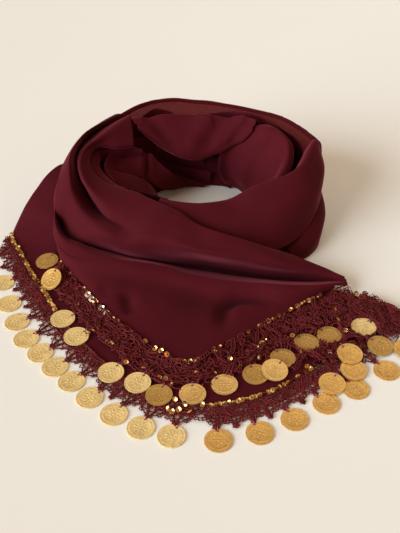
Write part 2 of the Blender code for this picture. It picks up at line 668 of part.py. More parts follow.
def main():
    for item in list(bpy.data.objects):
        bpy.data.objects.remove(item)
    burgundy = finish("burgundy_chiffon", (0.115, 0.013, 0.026), 0.72)
    thread = finish("burgundy_thread", (0.10, 0.010, 0.028), 0.55)
    brass = finish("brass", (0.80, 0.55, 0.22), 0.32, metallic=1.0)
    cloth = build_cloth(burgundy)
    build_core(burgundy, [stretch["wall"] for stretch in cloth.values()])
    build_all_trim(thread, cloth)
    build_coins(brass)
    return stand_on_table()


if __name__ == "__main__":
    main()
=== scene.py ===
"""Dresses a belly dance hip scarf that lies wound into a loop: chiffon, crochet, sequins and coins.

Tables are in millimetres and degrees, in the table frame in which the scarf was laid out. SHIFT brings
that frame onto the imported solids. A place on the wound cloth is given round the loop's upright axis.
"""

import math
import random

import bpy
import numpy as np
from bpy.props import FloatProperty, FloatVectorProperty, PointerProperty
from mathutils import Matrix, Vector, noise
from mathutils.bvhtree import BVHTree


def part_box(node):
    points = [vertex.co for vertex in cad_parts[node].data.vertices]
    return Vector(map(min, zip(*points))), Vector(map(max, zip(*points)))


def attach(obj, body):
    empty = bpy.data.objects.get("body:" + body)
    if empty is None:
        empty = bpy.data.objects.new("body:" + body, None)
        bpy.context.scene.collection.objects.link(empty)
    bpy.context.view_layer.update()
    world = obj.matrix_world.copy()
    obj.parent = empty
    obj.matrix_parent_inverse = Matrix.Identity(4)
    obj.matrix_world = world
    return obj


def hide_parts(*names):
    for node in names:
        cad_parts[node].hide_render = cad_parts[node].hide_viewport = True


bl_info = {
    "name": "Wound hip scarf",
    "version": (1, 0, 0),
    "blender": (4, 5, 0),
    "location": "View3D > Sidebar > Scarf",
    "description": "Builds a wound hip scarf with crocheted trim, sequins and coins",
    "category": "Add Mesh",
}

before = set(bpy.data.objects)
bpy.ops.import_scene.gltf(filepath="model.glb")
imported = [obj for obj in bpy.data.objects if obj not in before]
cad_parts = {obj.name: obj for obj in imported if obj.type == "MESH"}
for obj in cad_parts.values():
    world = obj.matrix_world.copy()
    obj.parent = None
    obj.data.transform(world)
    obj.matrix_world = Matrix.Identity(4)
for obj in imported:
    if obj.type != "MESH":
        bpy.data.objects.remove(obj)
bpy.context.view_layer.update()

MM = 0.001
LOOP_AXIS = (-5.0, 80.0)
TRIM_GAP = 0.8
COIN_RADIUS = 11.0
LACE_THICKNESS = 1.2
PLAIN_POINT_PITCH = 23.0
PLAIN_POINT_LENGTH = 23.0
TRIM_FALL = 12.0
LOWER_TRIM_START = (-192.0, 46.0)
LOWER_TIP = (3.0, -174.0)
TOP_TIP = (-11.0, -143.0)
TOP_TRIM_REST = 3.4
FINE = 5                      # points of a dressed sheet for each point of its solid
CAMERA_HEIGHT = 0.465         # over the table, in metres
CAMERA_PITCH = math.radians(40.0)
PICTURE_CENTRE = (200.0, 266.5)   # of the camera's picture, which is 400 by 533 pixels
PICTURE_FOCAL = 740.0         # distance from the lens to that picture, in pixels
PLACE_STEP = 0.5              # places of the folded cloth are rounded to this, in mm or degrees


# ---------------------------------------------------------------- places in the camera's picture
def sight(across, down, height):
    """x, y and z of the place at a height that the camera sees at a pixel."""
    right = (across - PICTURE_CENTRE[0]) / PICTURE_FOCAL
    rise = (PICTURE_CENTRE[1] - down) / PICTURE_FOCAL
    ahead = math.cos(CAMERA_PITCH) + rise * math.sin(CAMERA_PITCH)
    fall = math.sin(CAMERA_PITCH) - rise * math.cos(CAMERA_PITCH)
    reach = (CAMERA_HEIGHT / MM - height) / fall
    return reach * right, reach * ahead - CAMERA_HEIGHT / MM / math.tan(CAMERA_PITCH), height


def pixels_of(points):
    """Where the camera sees points: pixels across and down its picture."""
    away = points + np.array((0, CAMERA_HEIGHT / MM / math.tan(CAMERA_PITCH), -CAMERA_HEIGHT / MM))
    depth = away[:, 1] * math.cos(CAMERA_PITCH) - away[:, 2] * math.sin(CAMERA_PITCH)
    rise = away[:, 1] * math.sin(CAMERA_PITCH) + away[:, 2] * math.cos(CAMERA_PITCH)
    return np.column_stack((away[:, 0], -rise)) / depth[:, None] * PICTURE_FOCAL + PICTURE_CENTRE


def rounded(values, step):
    return tuple(math.floor(value / step + 0.5) * step for value in values)


def seen(across, down, height, step=PLACE_STEP):
    """A place in the camera's picture as x, y and height."""
    return rounded(sight(across, down, height), step)


def turned(across, down, height):
    """A place in the camera's picture as angle, distance and height round the loop's axis."""
    x, y, z = sight(across, down, height)
    x, y = x - LOOP_AXIS[0], y - LOOP_AXIS[1]
    return rounded((math.degrees(math.atan2(y, x)) % 360, math.hypot(x, y), z), PLACE_STEP)


# ---------------------------------------------------------------- sections of the cloth's stretches
# Columns: angle, then distance and height at the rim, the belly, the lower lip and the cloth turned
# back under it.
SWAG_SECTIONS = (
    (141, 86, 87.5, 82, 86, 77, 82.5, 78, 79.5),
    (133, 80, 88.5, 70, 82, 59, 67, 64, 63),
    (119, 71, 89, 56, 74, 44.5, 54, 51, 51),
    (98, 66, 87, 50, 70, 39.5, 48, 47, 45),
    (80, 66, 86, 51, 68, 41, 48, 48, 45),
    (65, 70, 87, 56, 72, 47, 53, 53, 51),
    (49, 77, 88, 71, 80, 65, 67, 69, 64),
    (38, 82, 88, 79, 85, 76, 80, 78, 77),
)
SWAG_TAIL = (5, -8)           # how far the cloth goes on behind the rim: distance, height

# Columns: angle, then distance and height at the rim, the waist, the belly and the toe.
INNER_DRAPE_SECTIONS = (
    (61, 61, 59, 52, 46, 53, 27, 70, 1.2),
    (48, 76, 75, 62, 58, 58, 34, 70, 1.2),
    (36, 86, 83, 73, 71, 62, 41, 67, 1.2),
    (24, 91, 86, 78, 76, 66, 46, 64, 1.2),
    (12, 95, 84, 83, 71, 68, 44, 60, 1.2),
    (0, 93, 74, 82, 59, 66, 34, 55, 1.2),
    (-14, 82, 59, 71, 43, 58, 24, 48, 1.2),
    (-34, 53, 43, 49, 32, 44, 18, 38, 1.2),
)
INNER_DRAPE_TAIL = (5, -5)

# Columns: angle, then distance and height at the top edge, the bulge and the toe.
INNER_TURN_SECTIONS = (
    (234, 45, 50, 39, 26, 37, 1.2),
    (215, 56, 54, 44, 28, 38, 1.2),
    (198, 76, 57, 56, 30, 42, 1.2),
    (182, 90, 61, 68, 36, 48, 1.2),
    (166, 90, 65, 73, 40, 55, 1.2),
    (150, 78, 64, 66, 34, 60, 1.2),
    (134, 66, 48, 61, 26, 62, 1.2),
    (114, 63, 32, 60, 18, 62, 1.2),
    (92, 62, 22, 60, 12, 61, 1.2),
    (74, 64, 18, 62, 10, 64, 1.2),
)

# Columns: angle, then distance and height at the rim, the shoulder and the foot.
OUTER_LAYER_SECTIONS = (
    (5.8, 120, 88, 130, 66, 129, 1.2),
    (14, 113, 90, 126, 60, 126, 1.2),
    (30, 104, 91, 117, 56, 119, 1.2),
    (50, 92, 91, 107, 54, 111, 1.2),
    (70, 86, 92, 103, 54, 107, 1.2),
    (88, 87, 92, 103, 54, 106, 1.2),
    (104, 92, 93, 105, 54, 107, 1.2),
    (118, 96, 93, 108, 56, 109, 1.2),
    (134, 97, 91, 110, 56, 112, 1.2),
    (148, 101, 85, 113, 54, 116, 1.2),
    (162, 104, 70, 114, 44, 117, 1.2),
    (176, 108, 52, 115, 32, 118, 1.2),
    (188, 110, 36, 116, 22, 119, 1.2),
)
OUTER_LAYER_TAIL = (-2, -3)

# Columns: angle, then distance and height at the inner edge, the rim, the shoulder and the lower edge.
RIGHT_WRAP_SECTIONS = (
    (5.3, 110, 74, 119, 88, 129, 70, 130, 47),
    (-3, 103, 72, 112, 87, 128, 70, 129, 43),
    (-14, 97, 68, 105, 81, 123, 62, 126, 36),
    (-34, 62, 54, 69, 66, 98, 56, 118, 22),
    (-55, 51, 46, 57, 57, 82, 48, 108, 24),
    (-80, 48, 46, 54, 57, 64, 55, 82, 38),
    (-104, 49, 48, 55, 58, 60, 57, 70, 50),
    (-124, 51, 51, 57, 58.5, 61, 58, 68, 53),
)

# Columns: angle, then distance and height at the hidden top, the belly and the foot.
BASE_FOLD_SECTIONS = (
    (4, 122, 50, 132, 26, 131, 1.2),
    (-5, 120, 48, 134, 24, 132, 1.2),
    (-14, 117, 41, 134, 20, 132.5, 1.2),
    (-26, 110, 32, 131, 15, 132, 1.2),
    (-33, 106, 25, 125, 12, 128, 1.2),
    (-38, 104, 20, 118, 10, 122, 1.2),
)

# The upper point of the scarf. Columns: x, y and height at the hidden inner edge under the crease, at
# the middle, and at the hem.
TOP_POINT_SECTIONS = (
    (-132, 30, 22, -139, 16, 16, -136, 0, 7),
    (-116, 13, 22, -122, -8, 16, -114, -33, 7),
    (-94, 6, 20.5, -99, -30, 15, -90, -64, 7),
    (-70, 4, 18.5, -74, -40, 14, -70, -86, 7),
    (-42, -4, 16.5, -45, -54, 13, -47, -109, 7),
    (-16, -12, 15, -18, -66, 12, -33, -121, 7),
    (4, -20, 14.5, -2, -76, 11, -9, -133, 7),
    (24, -27, 14, 20, -70, 11.5, 14, -118, 7),
    (46, -31, 13, 44, -62, 11.5, 43, -97, 7),
    (84, -34, 11, 80, -52, 10.5, 78, -72, 7),
    (114, -33, 9.5, 113, -42, 9, 112, -49, 7),
    (129, -31, 8.5, 134, -33, 8, 138, -35, 7),
)

# The lower layer of the point: it spreads from behind the loop's left shoulder down to the table and
# lies flat there. Columns: x, y and height at its hidden inner edge, and at its free edge or hem.
LOWER_POINT_SECTIONS = (
    (-120, 97, 50, -128, 103, 54),
    (-125, 85, 43, -143, 97, 56),
    (-129, 71, 35, -156, 88, 50),
    (-133, 58, 27, -167, 79, 39),
    (-136, 46, 19, -177, 68, 28),
    (-137, 34, 12, -186, 60, 14),
    (-136, 22, 7, -192, 46, 2.6),
    (-133, 8, 2.6, -179, 20, 1.3),
    (-124, -10, 1.9, -162, -12, 1.3),
    (-108, -30, 1.7, -146, -38, 1.3),
    (-88, -55, 1.7, -131, -64, 1.3),
    (-66, -78, 1.7, -99, -106, 1.3),
    (-42, -101, 1.7, -60, -146, 1.3),
    (-16, -126, 1.7, -24, -168, 1.3),
    (8, -118, 1.7, 3, -174, 1.3),
    (38, -90, 1.7, 50, -163, 1.3),
    (72, -66, 1.7, 86, -140, 1.3),
    (104, -46, 1.7, 137, -98, 1.3),
    (128, -36, 1.7, 176, -60, 1.3),
)

# Where the upper trim goes on past the right corner. Columns: x, y and height.
CORNER_LINE = ((151, -46, 6.2), (160, -53, 5.9), (170, -60, 4.8), (181, -68, 3.3), (190, -74, 3.0))

# The hidden turns. Columns: angle, and the distances between which they fill the loop.
CORE_FOOTPRINT = (
    (-25, 48, 114), (-12, 54, 118), (0, 60, 122), (20, 69, 113), (42, 75, 104), (58, 75, 101),
    (72, 70, 100),
    (90, 66, 99), (110, 66, 100), (130, 66, 105), (150, 64, 109), (170, 58, 113), (185, 52, 116),
    (200, 46, 128), (212, 42, 138), (226, 41, 142), (238, 41, 150), (249, 41, 161), (258, 40, 176),
    (267, 39, 196), (274, 38, 188), (284, 38, 166), (298, 38, 154), (309, 38, 148), (316, 40, 118),
    (327, 44, 108),
)

# ---------------------------------------------------------------- coins
# Columns: x and y of the coin's centre. Each hangs from its own point of the trim.
LOWER_COINS_LEFT = (
    (-188, -25), (-176, -54), (-164, -78), (-152, -99), (-137, -116), (-122, -132), (-106, -148),
    (-89, -165), (-68, -182), (-46, -195), (-22, -203),
)
LOWER_COINS_RIGHT = (
    (14, -207), (46, -200), (74, -187), (101, -171), (127, -156), (156, -136),
)
TOP_COINS_LEFT = ((-123, -76), (-108, -98), (-74, -140), (-51, -151), (-33, -164))
TOP_COINS_RIGHT = ((-6, -163), (20, -153), (46, -142), (70, -124), (92, -106), (113, -97))
CORNER_COINS = ((144, -89), (177, -113))
TOP_COIN_REST = TOP_TRIM_REST - LACE_THICKNESS
CORNER_COIN_RESTS = (4.8, 1.9)
# Coins that lie loose on the trim. Columns: x, y, height of the underside, tilt, and the direction
# in which the coin's lower side looks.
LOOSE_COINS = (
    (-149, 2, 3.8, 6, 200), (-140, -28, 1.6, 32, 225), (108, -152, 1.3, 4, 270),
    (127, -121, 3.6, 5, 300), (62, -139, 2.6, 8, 300), (128, -137, 1.25, 4, 300), (155, -110, 1.8, 5, 300),
)

# The front drape as it is folded, over the point as far as the crease. A place is angle, distance and
# height, or is turned() into them from the camera's picture. Columns: the cloth turned in behind the inner
# rim, that rim, the inner fold's face, its crest, the groove beside it, the outer fold's crest, the hollow
# or flank below it, the lobe under that, and the lower edge.
FRONT_CLOTH_SECTIONS = (
    (turned(135, 148, 62), turned(134, 147, 70), turned(133, 132, 80), turned(131, 117.5, 88.5),
     turned(127, 116, 87), turned(122, 114, 90), (144, 101, 90.5), (144.5, 104.5, 86), (145, 107, 80)),
    (turned(118, 149, 64), turned(118, 148.5, 72), turned(117, 138, 80), turned(115, 127, 87),
     turned(109.5, 124.5, 81.5), turned(103, 122.5, 88.5), (153, 108, 87.5), (154, 112, 82),
     (155, 115, 75)),
    (turned(104, 148, 66), turned(104, 147, 74), turned(102, 142.5, 79.5), turned(100, 137, 84.5),
     turned(95, 134, 77), turned(88, 130.5, 88), (161, 115, 84), (162, 118.5, 77), (163, 121, 70)),
    (turned(96, 150, 67), turned(95, 148.5, 75), turned(91.5, 147, 79), turned(88, 145, 82),
     turned(83.8, 144, 73), turned(78, 141, 87), (170, 122, 80.5), (171, 125.5, 73), (172, 128, 65)),
    (turned(92, 156.5, 66), turned(89, 156, 73.5), turned(84.5, 155.5, 77.5), turned(80.5, 155, 79),
     turned(77, 156, 68), turned(71, 154, 82.5), (177, 126, 76.5), (178, 130.5, 68), (179, 134, 60)),
    (turned(91.5, 163, 63), turned(88.5, 163, 70), turned(84, 164.5, 75), turned(79.5, 166, 77),
     turned(77, 167.5, 63.5), turned(69, 167, 76), (183, 131, 69.5), (184, 136, 60), (185, 139, 52)),
    (turned(95.5, 171, 61), turned(93, 171, 67), turned(88, 175, 71), turned(83, 178, 73),
     turned(80.5, 179, 57), turned(70, 181, 67.5), (189, 135, 61), (190, 140, 52), (191, 143, 44)),
    (turned(107, 182, 58), turned(105, 182, 64), turned(96, 186, 67), turned(89.5, 189, 68),
     turned(86.5, 190.5, 51), turned(72, 194, 58.5), turned(58, 207, 44), (196, 143.5, 41), (197, 145, 34)),
    (turned(121, 188, 57), turned(120, 188, 62.5), turned(109, 196, 63), turned(98.5, 201, 61),
     turned(93.5, 203, 45.5), turned(77, 208, 50.5), turned(61.5, 222, 29), turned(54.5, 226, 33),
     turned(53.5, 236, 23)),
    (turned(135.5, 192, 56.5), turned(135, 192, 61.5), turned(122, 203, 60), turned(110.5, 212, 55),
     turned(103, 215.5, 43.5), turned(89, 222, 43.5), turned(70, 235, 25), turned(62, 240, 28),
     turned(60, 248, 21.5)),
    (turned(150.5, 199, 56), turned(150, 199, 60.5), turned(139, 211, 57.5), turned(128, 220.5, 51.5),
     turned(119, 226, 44), turned(104, 234.5, 41), turned(87, 243.5, 22), turned(79, 249, 25.5),
     turned(75, 257, 21)),
    (turned(165, 206, 56), turned(165, 205.5, 60), turned(156, 218, 56), turned(147, 228, 50.5),
     (240, 103, 44.5), (232.5, 110.5, 28), (226, 106, 13), turned(109, 257.5, 25), (230.5, 127.5, 24.5)),
    (turned(180, 212, 53), turned(180, 212.5, 57), turned(174, 222, 54), turned(168, 231, 49.5),
     (253.5, 100.5, 43), (249, 96, 21), (247.5, 92.5, 10.5), turned(155, 264.5, 23), (250.5, 113, 22.5)),
    ((270, 77, 50), (270, 78, 52), turned(195.5, 231, 48.5), (271.5, 97.5, 44.5), (272, 107, 41),
     (273, 95.5, 20), (273, 95, 9), turned(201, 277.5, 20.5), (273, 122.5, 20)),
    ((290, 95, 44.5), (290, 96, 46), turned(233, 242, 44), (290.5, 112, 41), (290.5, 118.5, 35.5),
     (293.5, 113, 18), (294.5, 115, 8.5), turned(249, 283, 20), (291.5, 138.5, 19.5)),
    ((304, 114, 36.5), (304, 115, 38), turned(270, 252, 37.5), turned(277, 260.5, 33.5),
     turned(283, 268, 25), (308, 138, 15), (308.5, 141.5, 8.5), (304.5, 156, 18.5), (304.5, 158, 18)),
    ((313.5, 135, 27.5), (313.5, 136, 29), turned(299, 260, 28), turned(305, 266, 25.5),
     turned(310, 271.5, 20.5), (315, 156, 13.5), (315, 159, 9), turned(318, 285, 16), (312, 171, 15.5)),
    (rounded((319.4, 160.5, 19), PLACE_STEP), (319, 161, 20), turned(327, 270, 19),
     turned(329, 273, 17.5), turned(331, 276, 15),
     (319, 171, 12.5), turned(334, 281.5, 9.8), turned(335, 284, 13.5), (317, 178.5, 12.5)),
    tuple(rounded(place, PLACE_STEP) for place in (
        (321.6, 178.5, 13.4), (321.3, 179, 14), (321.2, 179.5, 13.8), (321, 180.2, 13.5), (321, 181, 13),
        (320.8, 182, 12.3), (320.6, 183, 11.6), (320.4, 184, 10.8), (320.4, 184.3, 9))),
)

# The rolled band that lies inside the front drape's rim. Columns: x, y and height at its hidden outer side,
# its crest, its inner edge and the cloth that goes down from there, all from the camera's picture.
ROLLED_BAND_SECTIONS = (
    (seen(143, 150, 58), seen(143, 151, 62), seen(143, 152.5, 61), seen(142, 158, 54)),
    (seen(134, 147, 60), seen(133, 147.3, 66), seen(133, 149, 65), seen(131, 157, 56)),
    (seen(118, 148, 61), seen(118, 148.8, 68), seen(118, 150.5, 67), seen(118, 161, 55)),
    (seen(103, 147.5, 63), seen(105, 147.2, 70), seen(105.5, 149.5, 69), seen(108, 161, 56)),
    (seen(93, 150, 63), seen(97, 149, 70.5), seen(99, 151.5, 69.5), seen(102, 162, 57)),
    (seen(88, 154, 62), seen(92, 153.5, 70), seen(97.5, 156, 68.5), seen(99.5, 163, 58)),
    (seen(87, 161, 60), seen(90.5, 159, 68.5), seen(97, 161, 66.5), seen(99.5, 166, 57)),
    (seen(89, 168, 59), seen(92.5, 166, 66.5), seen(99, 167.5, 64), seen(102, 171, 56)),
    (seen(95, 176, 57), seen(98, 173.5, 64.5), seen(103, 173.5, 62), seen(106, 176, 55)),
    (seen(103, 184, 55), seen(106, 180, 63), seen(109.5, 179.5, 61), seen(112, 181, 54)),
    (seen(112, 190, 53), seen(115, 185.5, 62), seen(117.5, 185, 60), seen(119, 186, 54)),
    (seen(121, 194, 52), seen(124, 188.8, 61), seen(126, 188.5, 59.5), seen(127, 190, 54)),
)

# The pleat inside that band, with the upright fold at its end. Columns: x, y and height at its top, its
# middle and its foot.
PLEAT_SECTIONS = (
    (seen(102, 165.5, 57), seen(103, 166.5, 55), seen(104, 168, 53)),
    (seen(108, 160.5, 56.5), seen(110, 165, 54.5), seen(113, 170.5, 51)),
    (seen(118, 160.5, 55.5), seen(120.5, 166, 53), seen(123, 173, 48)),
    (seen(128, 157.5, 56.5), seen(130.5, 165, 51), seen(133, 176, 43)),
    (seen(136, 154, 58), seen(137.5, 164.5, 51), seen(139, 178, 39)),
    (seen(142.6, 151.8, 59.5), seen(142.4, 164.5, 51), seen(142.2, 178.8, 38)),
    (seen(145.5, 154, 55.5), seen(145.2, 166, 45), seen(145, 180.5, 33)),
    (seen(150, 152.8, 56.5), seen(150, 166, 46), seen(150, 182.5, 31)),
    (seen(158, 161, 48.5), seen(158.5, 172, 39), seen(159, 188, 24)),
    (seen(172, 173, 36), seen(172, 180, 27), seen(172, 190, 14)),
    (seen(182, 176.5, 24), (-19.5, 122.5, 17), seen(182, 188, 10)),
    ((-10, 132, 14.5), (-10, 133, 9), (-10, 134, 3.5)),
    ((5.5, 133.5, 7.5), (5.5, 134.5, 5), seen(205, 187, 2)),
)

# The innermost fold at the left. Columns: x, y and height at its top edge, its middle and its hidden foot.
INNERMOST_FOLD_SECTIONS = (
    (seen(103.5, 167, 56.5), seen(106, 173.5, 55), seen(109, 180.5, 52)),
    (seen(114, 170.5, 54.5), seen(116, 178, 53.5), seen(118, 187, 51)),
    (seen(127, 173.8, 50.5), seen(127.5, 181, 50), seen(128, 191.5, 47.5)),
    (seen(141, 178.5, 42.5), seen(140.5, 186, 43.5), seen(140, 196, 42.5)),
    (seen(150, 184, 33), seen(150, 191, 35.5), seen(150, 201, 36.5)),
    (seen(155, 190.5, 22), seen(155.5, 195.5, 26), seen(156, 204, 29)),
    (seen(158.5, 197, 8), seen(159, 199.5, 11), seen(160, 205, 14)),
)

# The second turn inside the back's sheer rim. Columns: angle, then distance and height at its top edge, a
# little lower and at its hidden foot.
SECOND_TURN_SECTIONS = (
    (140, 93, 74, 94, 64, 96, 48),
    (128, 93, 79, 94, 68, 96, 48),
    (118, 92.5, 85, 93.5, 73, 96, 48),
    (110, 90, 81, 91, 70, 94, 48),
    (102, 87, 75, 88, 66, 91, 48),
    (88, 83, 74, 84, 65, 87, 48),
    (80, 82.5, 79, 83, 68, 87, 48),
    (70, 82, 83.5, 83, 72, 87, 48),
    (60, 84.5, 86.5, 85.5, 74, 89, 48),
    (50, 88, 87.5, 89, 75, 92, 48),
    (43, 92, 86, 93, 74, 96, 48),
    (36, 96.5, 84, 97.5, 72, 100, 48),
    (26, 102, 80, 103, 69, 106, 48),
    (14, 108.5, 78, 109.5, 67, 112, 48),
    (6, 114.5, 75, 115.5, 65, 118, 48),
)

# The end of the innermost turn, which curls out from under the right fold. Columns: x, y and height at its
# top edge, its middle and its foot.
CURLED_END_SECTIONS = (
    ((-2, 143, 11), (-2, 141.5, 6), (-2, 140, 1.5)),
    ((10, 146, 14), (10, 143.5, 8), (10, 141, 1.5)),
    ((18, 148, 17.5), (18, 144.5, 10), (18, 140, 1.5)),
    ((26, 147, 16), (26, 143, 9), (26, 138, 1.5)),
    ((34, 141.5, 10), (34, 138.5, 6), (34, 133.5, 1.5)),
)


# ---------------------------------------------------------------- curves and lofts
def smooth(knots, values, wanted):
    """Values at the wanted places on a smooth curve through the knots."""
    knots = np.asarray(knots, float)
    values = np.asarray(values, float)
    flat = values.reshape(len(knots), -1)
    steps = np.diff(knots)[:, None]
    slopes = np.diff(flat, axis=0) / steps
    tangents = np.empty_like(flat)
    tangents[0] = slopes[0]
    tangents[-1] = slopes[-1]
    tangents[1:-1] = (slopes[:-1] * steps[1:] + slopes[1:] * steps[:-1]) / (steps[1:] + steps[:-1])
    span = np.clip(np.searchsorted(knots, wanted, side="right") - 1, 0, len(knots) - 2)
    width = steps[span]
    t = (np.asarray(wanted, float)[:, None] - knots[span][:, None]) / width
    result = (
        flat[span] * (2 * t**3 - 3 * t**2 + 1)
        + tangents[span] * width * (t**3 - 2 * t**2 + t)
        + flat[span + 1] * (3 * t**2 - 2 * t**3)
        + tangents[span + 1] * width * (t**3 - t**2)
    )
    return result.reshape((len(t),) + values.shape[1:])


def chord_knots(points):
    """Knots spaced by the mean distance between neighbouring rows of points."""
    gaps = np.linalg.norm(np.diff(points, axis=0), axis=-1)
    if gaps.ndim > 1:
        gaps = gaps.mean(axis=1)
    return np.concatenate(([0.0], np.cumsum(gaps)))


def evenly(knots, count):
    """Evenly spaced places from the first knot to the last."""
    return np.linspace(knots[0], knots[-1], count + 1)


def round_axis(places):
    """Turn angle, distance and height into x, y and z."""
    angle = np.radians(places[..., 0])
    x = LOOP_AXIS[0] + places[..., 1] * np.cos(angle)
    y = LOOP_AXIS[1] + places[..., 1] * np.sin(angle)
    return np.stack((x, y, places[..., 2]), axis=-1)


def radial_sections(rows):
    """Sections whose lines all stand at the row's own angle: rows x lines x (angle, distance, height)."""
    rows = np.asarray(rows, float)
    pairs = rows[:, 1:].reshape(len(rows), -1, 2)
    angles = np.repeat(rows[:, :1, None], pairs.shape[1], axis=1)
    return np.concatenate((angles, pairs), axis=2)


def loft(sections, along, across, polar=True):
    """A grid of points, along x across, on the smooth sheet through all the sections."""
    sections = np.asarray(sections, float)
    in_space = round_axis(sections) if polar else sections
    rows = chord_knots(in_space)
    lengthwise = smooth(rows, sections, evenly(rows, along))
    in_space = round_axis(lengthwise) if polar else lengthwise
    lines = chord_knots(np.swapaxes(in_space, 0, 1))
    sheet = smooth(lines, np.swapaxes(lengthwise, 0, 1), evenly(lines, across))
    sheet = np.swapaxes(sheet, 0, 1)
    return round_axis(sheet) if polar else sheet


def with_tail(rows, tail):
    """Sections with one more line behind the first, at a fixed step from it."""
    sections = radial_sections(rows)
    line = sections[:, :1] + np.array((0.0, *tail))
    return np.concatenate((line, sections), axis=1)


# ---------------------------------------------------------------- the table frame and the solids
def centre_of(node):
    low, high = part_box(node)
    return (low + high) / 2


def table_shift():
    """From the table frame to the solids' frame, by the coin whose place is in both."""
    return np.array((*(centre_of("coin_12") / MM)[:2], 0.0)) - np.array((*LOWER_COINS_RIGHT[0], 0.0))


SHIFT = table_shift()


def solid_tree(node):
    """A search tree over a CAD node, in the table frame."""
    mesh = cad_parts[node].data
    corners = [Vector(np.array(v.co) / MM - SHIFT) for v in mesh.vertices]
    return BVHTree.FromPolygons(corners, [tuple(face.vertices) for face in mesh.polygons])


def sheet_normals(points, facing):
    """Unit normals of a grid of points, looking up, outward or inward."""
    normals = np.cross(np.gradient(points, axis=0), np.gradient(points, axis=1))
    normals /= np.maximum(np.linalg.norm(normals, axis=2, keepdims=True), 1e-9)
    if facing == "up":
        agree = normals[..., 2].mean()
    else:
        from_axis = points[..., :2] - np.array(LOOP_AXIS)
        agree = (normals[..., :2] * from_axis).sum(axis=2).mean() * (1 if facing == "out" else -1)
    return normals if agree > 0 else -normals


def between(coarse, times):
    """A coarse grid of values made finer, smoothly, both ways."""
    for _ in range(2):
        knots = np.arange(coarse.shape[0])
        coarse = smooth(knots, coarse, evenly(knots, (len(knots) - 1) * times)).T
    return coarse


def sheet_over(node, sections, along, across, facing, polar=True, reach=9.0):
    """A fine grid of points on the shown side of a cloth node."""
    coarse = loft(sections, along, across, polar)
    normals = sheet_normals(coarse, facing)
    tree = solid_tree(node)
    lift = np.zeros(coarse.shape[:2])
    for place in np.ndindex(lift.shape):
        normal = Vector(normals[place])
        hit = tree.ray_cast(Vector(coarse[place]) + normal * reach, -normal, 2 * reach)
        if hit[0] is not None:
            lift[place] = reach - hit[3]
    fine = loft(sections, along * FINE, across * FINE, polar)
    normals = sheet_normals(fine, facing)
    return fine + normals * between(lift, FINE)[..., None]


def on_sheet(points, u, v):
    """The point at shares u along and v across a grid."""
    i, j = u * (points.shape[0] - 1), v * (points.shape[1] - 1)
    a, b = min(int(i), points.shape[0] - 2), min(int(j), points.shape[1] - 2)
    s, t = i - a, j - b
    return ((points[a, b] * (1 - t) + points[a, b + 1] * t) * (1 - s)
            + (points[a + 1, b] * (1 - t) + points[a + 1, b + 1] * t) * s)


def route_on(points, route, steps=60):
    """A smooth line on a sheet through given shares, as points."""
    route = np.asarray(route, float)
    knots = chord_knots(route)
    shares = smooth(knots, route, evenly(knots, steps))
    return np.array([on_sheet(points, *np.clip(share, 0, 1)) for share in shares])


def fading(share, ends):
    """A weight that rises smoothly from 0 to 1 over the first part of a line and falls over the last."""
    taper = np.clip(np.minimum(share, 1 - share) / ends, 0, 1)
    return taper * taper * (3 - 2 * taper)


def folded(points, facing, folds):
    """Press troughs and raise ridges along routes. A row is height, width on the route's left, width on
    its right, and the route's shares along and across the sheet."""
    for height, left, right, route in folds:
        normals = sheet_normals(points, facing)
        line = route_on(points, route)
        ahead = np.gradient(line, axis=0)
        ahead /= np.maximum(np.linalg.norm(ahead, axis=1, keepdims=True), 1e-9)
        flat = points.reshape(-1, 3)
        near = np.linalg.norm(flat[:, None, :] - line[None, :, :], axis=2)
        index = near.argmin(axis=1)
        away = near.min(axis=1)
        beside = np.cross(ahead[index], flat - line[index])
        side = (beside * normals.reshape(-1, 3)).sum(axis=1)
        width = np.where(side > 0, left, right)
        share = index / (len(line) - 1)
        move = height * fading(share, FOLD_ENDS) * np.exp(-(away / width) ** 2)
        points = points + normals * move.reshape(points.shape[:2])[..., None]
    return points


def rippled(points, facing, amount, size, seed):
    """Faint uneven waves all over a sheet, as soft cloth keeps them."""
    normals = sheet_normals(points, facing)
    wave = np.empty(points.shape[:2])
    for place in np.ndindex(wave.shape):
        wave[place] = noise.noise(Vector(points[place]) / size + Vector((seed, 2.3 * seed, 0)))
    return points + normals * (wave * amount)[..., None]


def piece_from(name, vertices, faces, material, uv=None):
    """A new mesh object at the origin, from points in millimetres in the table frame."""
    mesh = bpy.data.meshes.new(name)
    mesh.from_pydata(((np.asarray(vertices) + SHIFT) * MM).tolist(), [], faces)
    if uv is not None:
        layer = mesh.uv_layers.new(name="Cloth")
        corners = np.empty(len(mesh.loops), np.int32)
        mesh.loops.foreach_get("vertex_index", corners)
        layer.data.foreach_set("uv", np.asarray(uv, np.float32)[corners].ravel())
    mesh.shade_smooth()
    mesh.materials.append(material)
    piece = bpy.data.objects.new(name, mesh)
    bpy.context.collection.objects.link(piece)
    return piece


def fold_depths(points, facing):
    """How deep each point of a sheet lies in a fold across it, from 0 on the open cloth to 1."""
    pitch = np.linalg.norm(np.diff(points, axis=1), axis=2).mean()
    reach = max(2, round(FOLD_REACH / pitch))
    weights = np.exp(-(np.arange(-reach, reach + 1) * 2 / reach) ** 2)
    weights /= weights.sum()
    padded = np.pad(points, ((0, 0), (reach, reach), (0, 0)), mode="edge")
    around = sum(weight * padded[:, place:place + points.shape[1]] for place, weight in enumerate(weights))
    depth = ((around - points) * sheet_normals(points, facing)).sum(axis=2)
    return np.clip(depth / FOLD_DEEP, 0, 1)


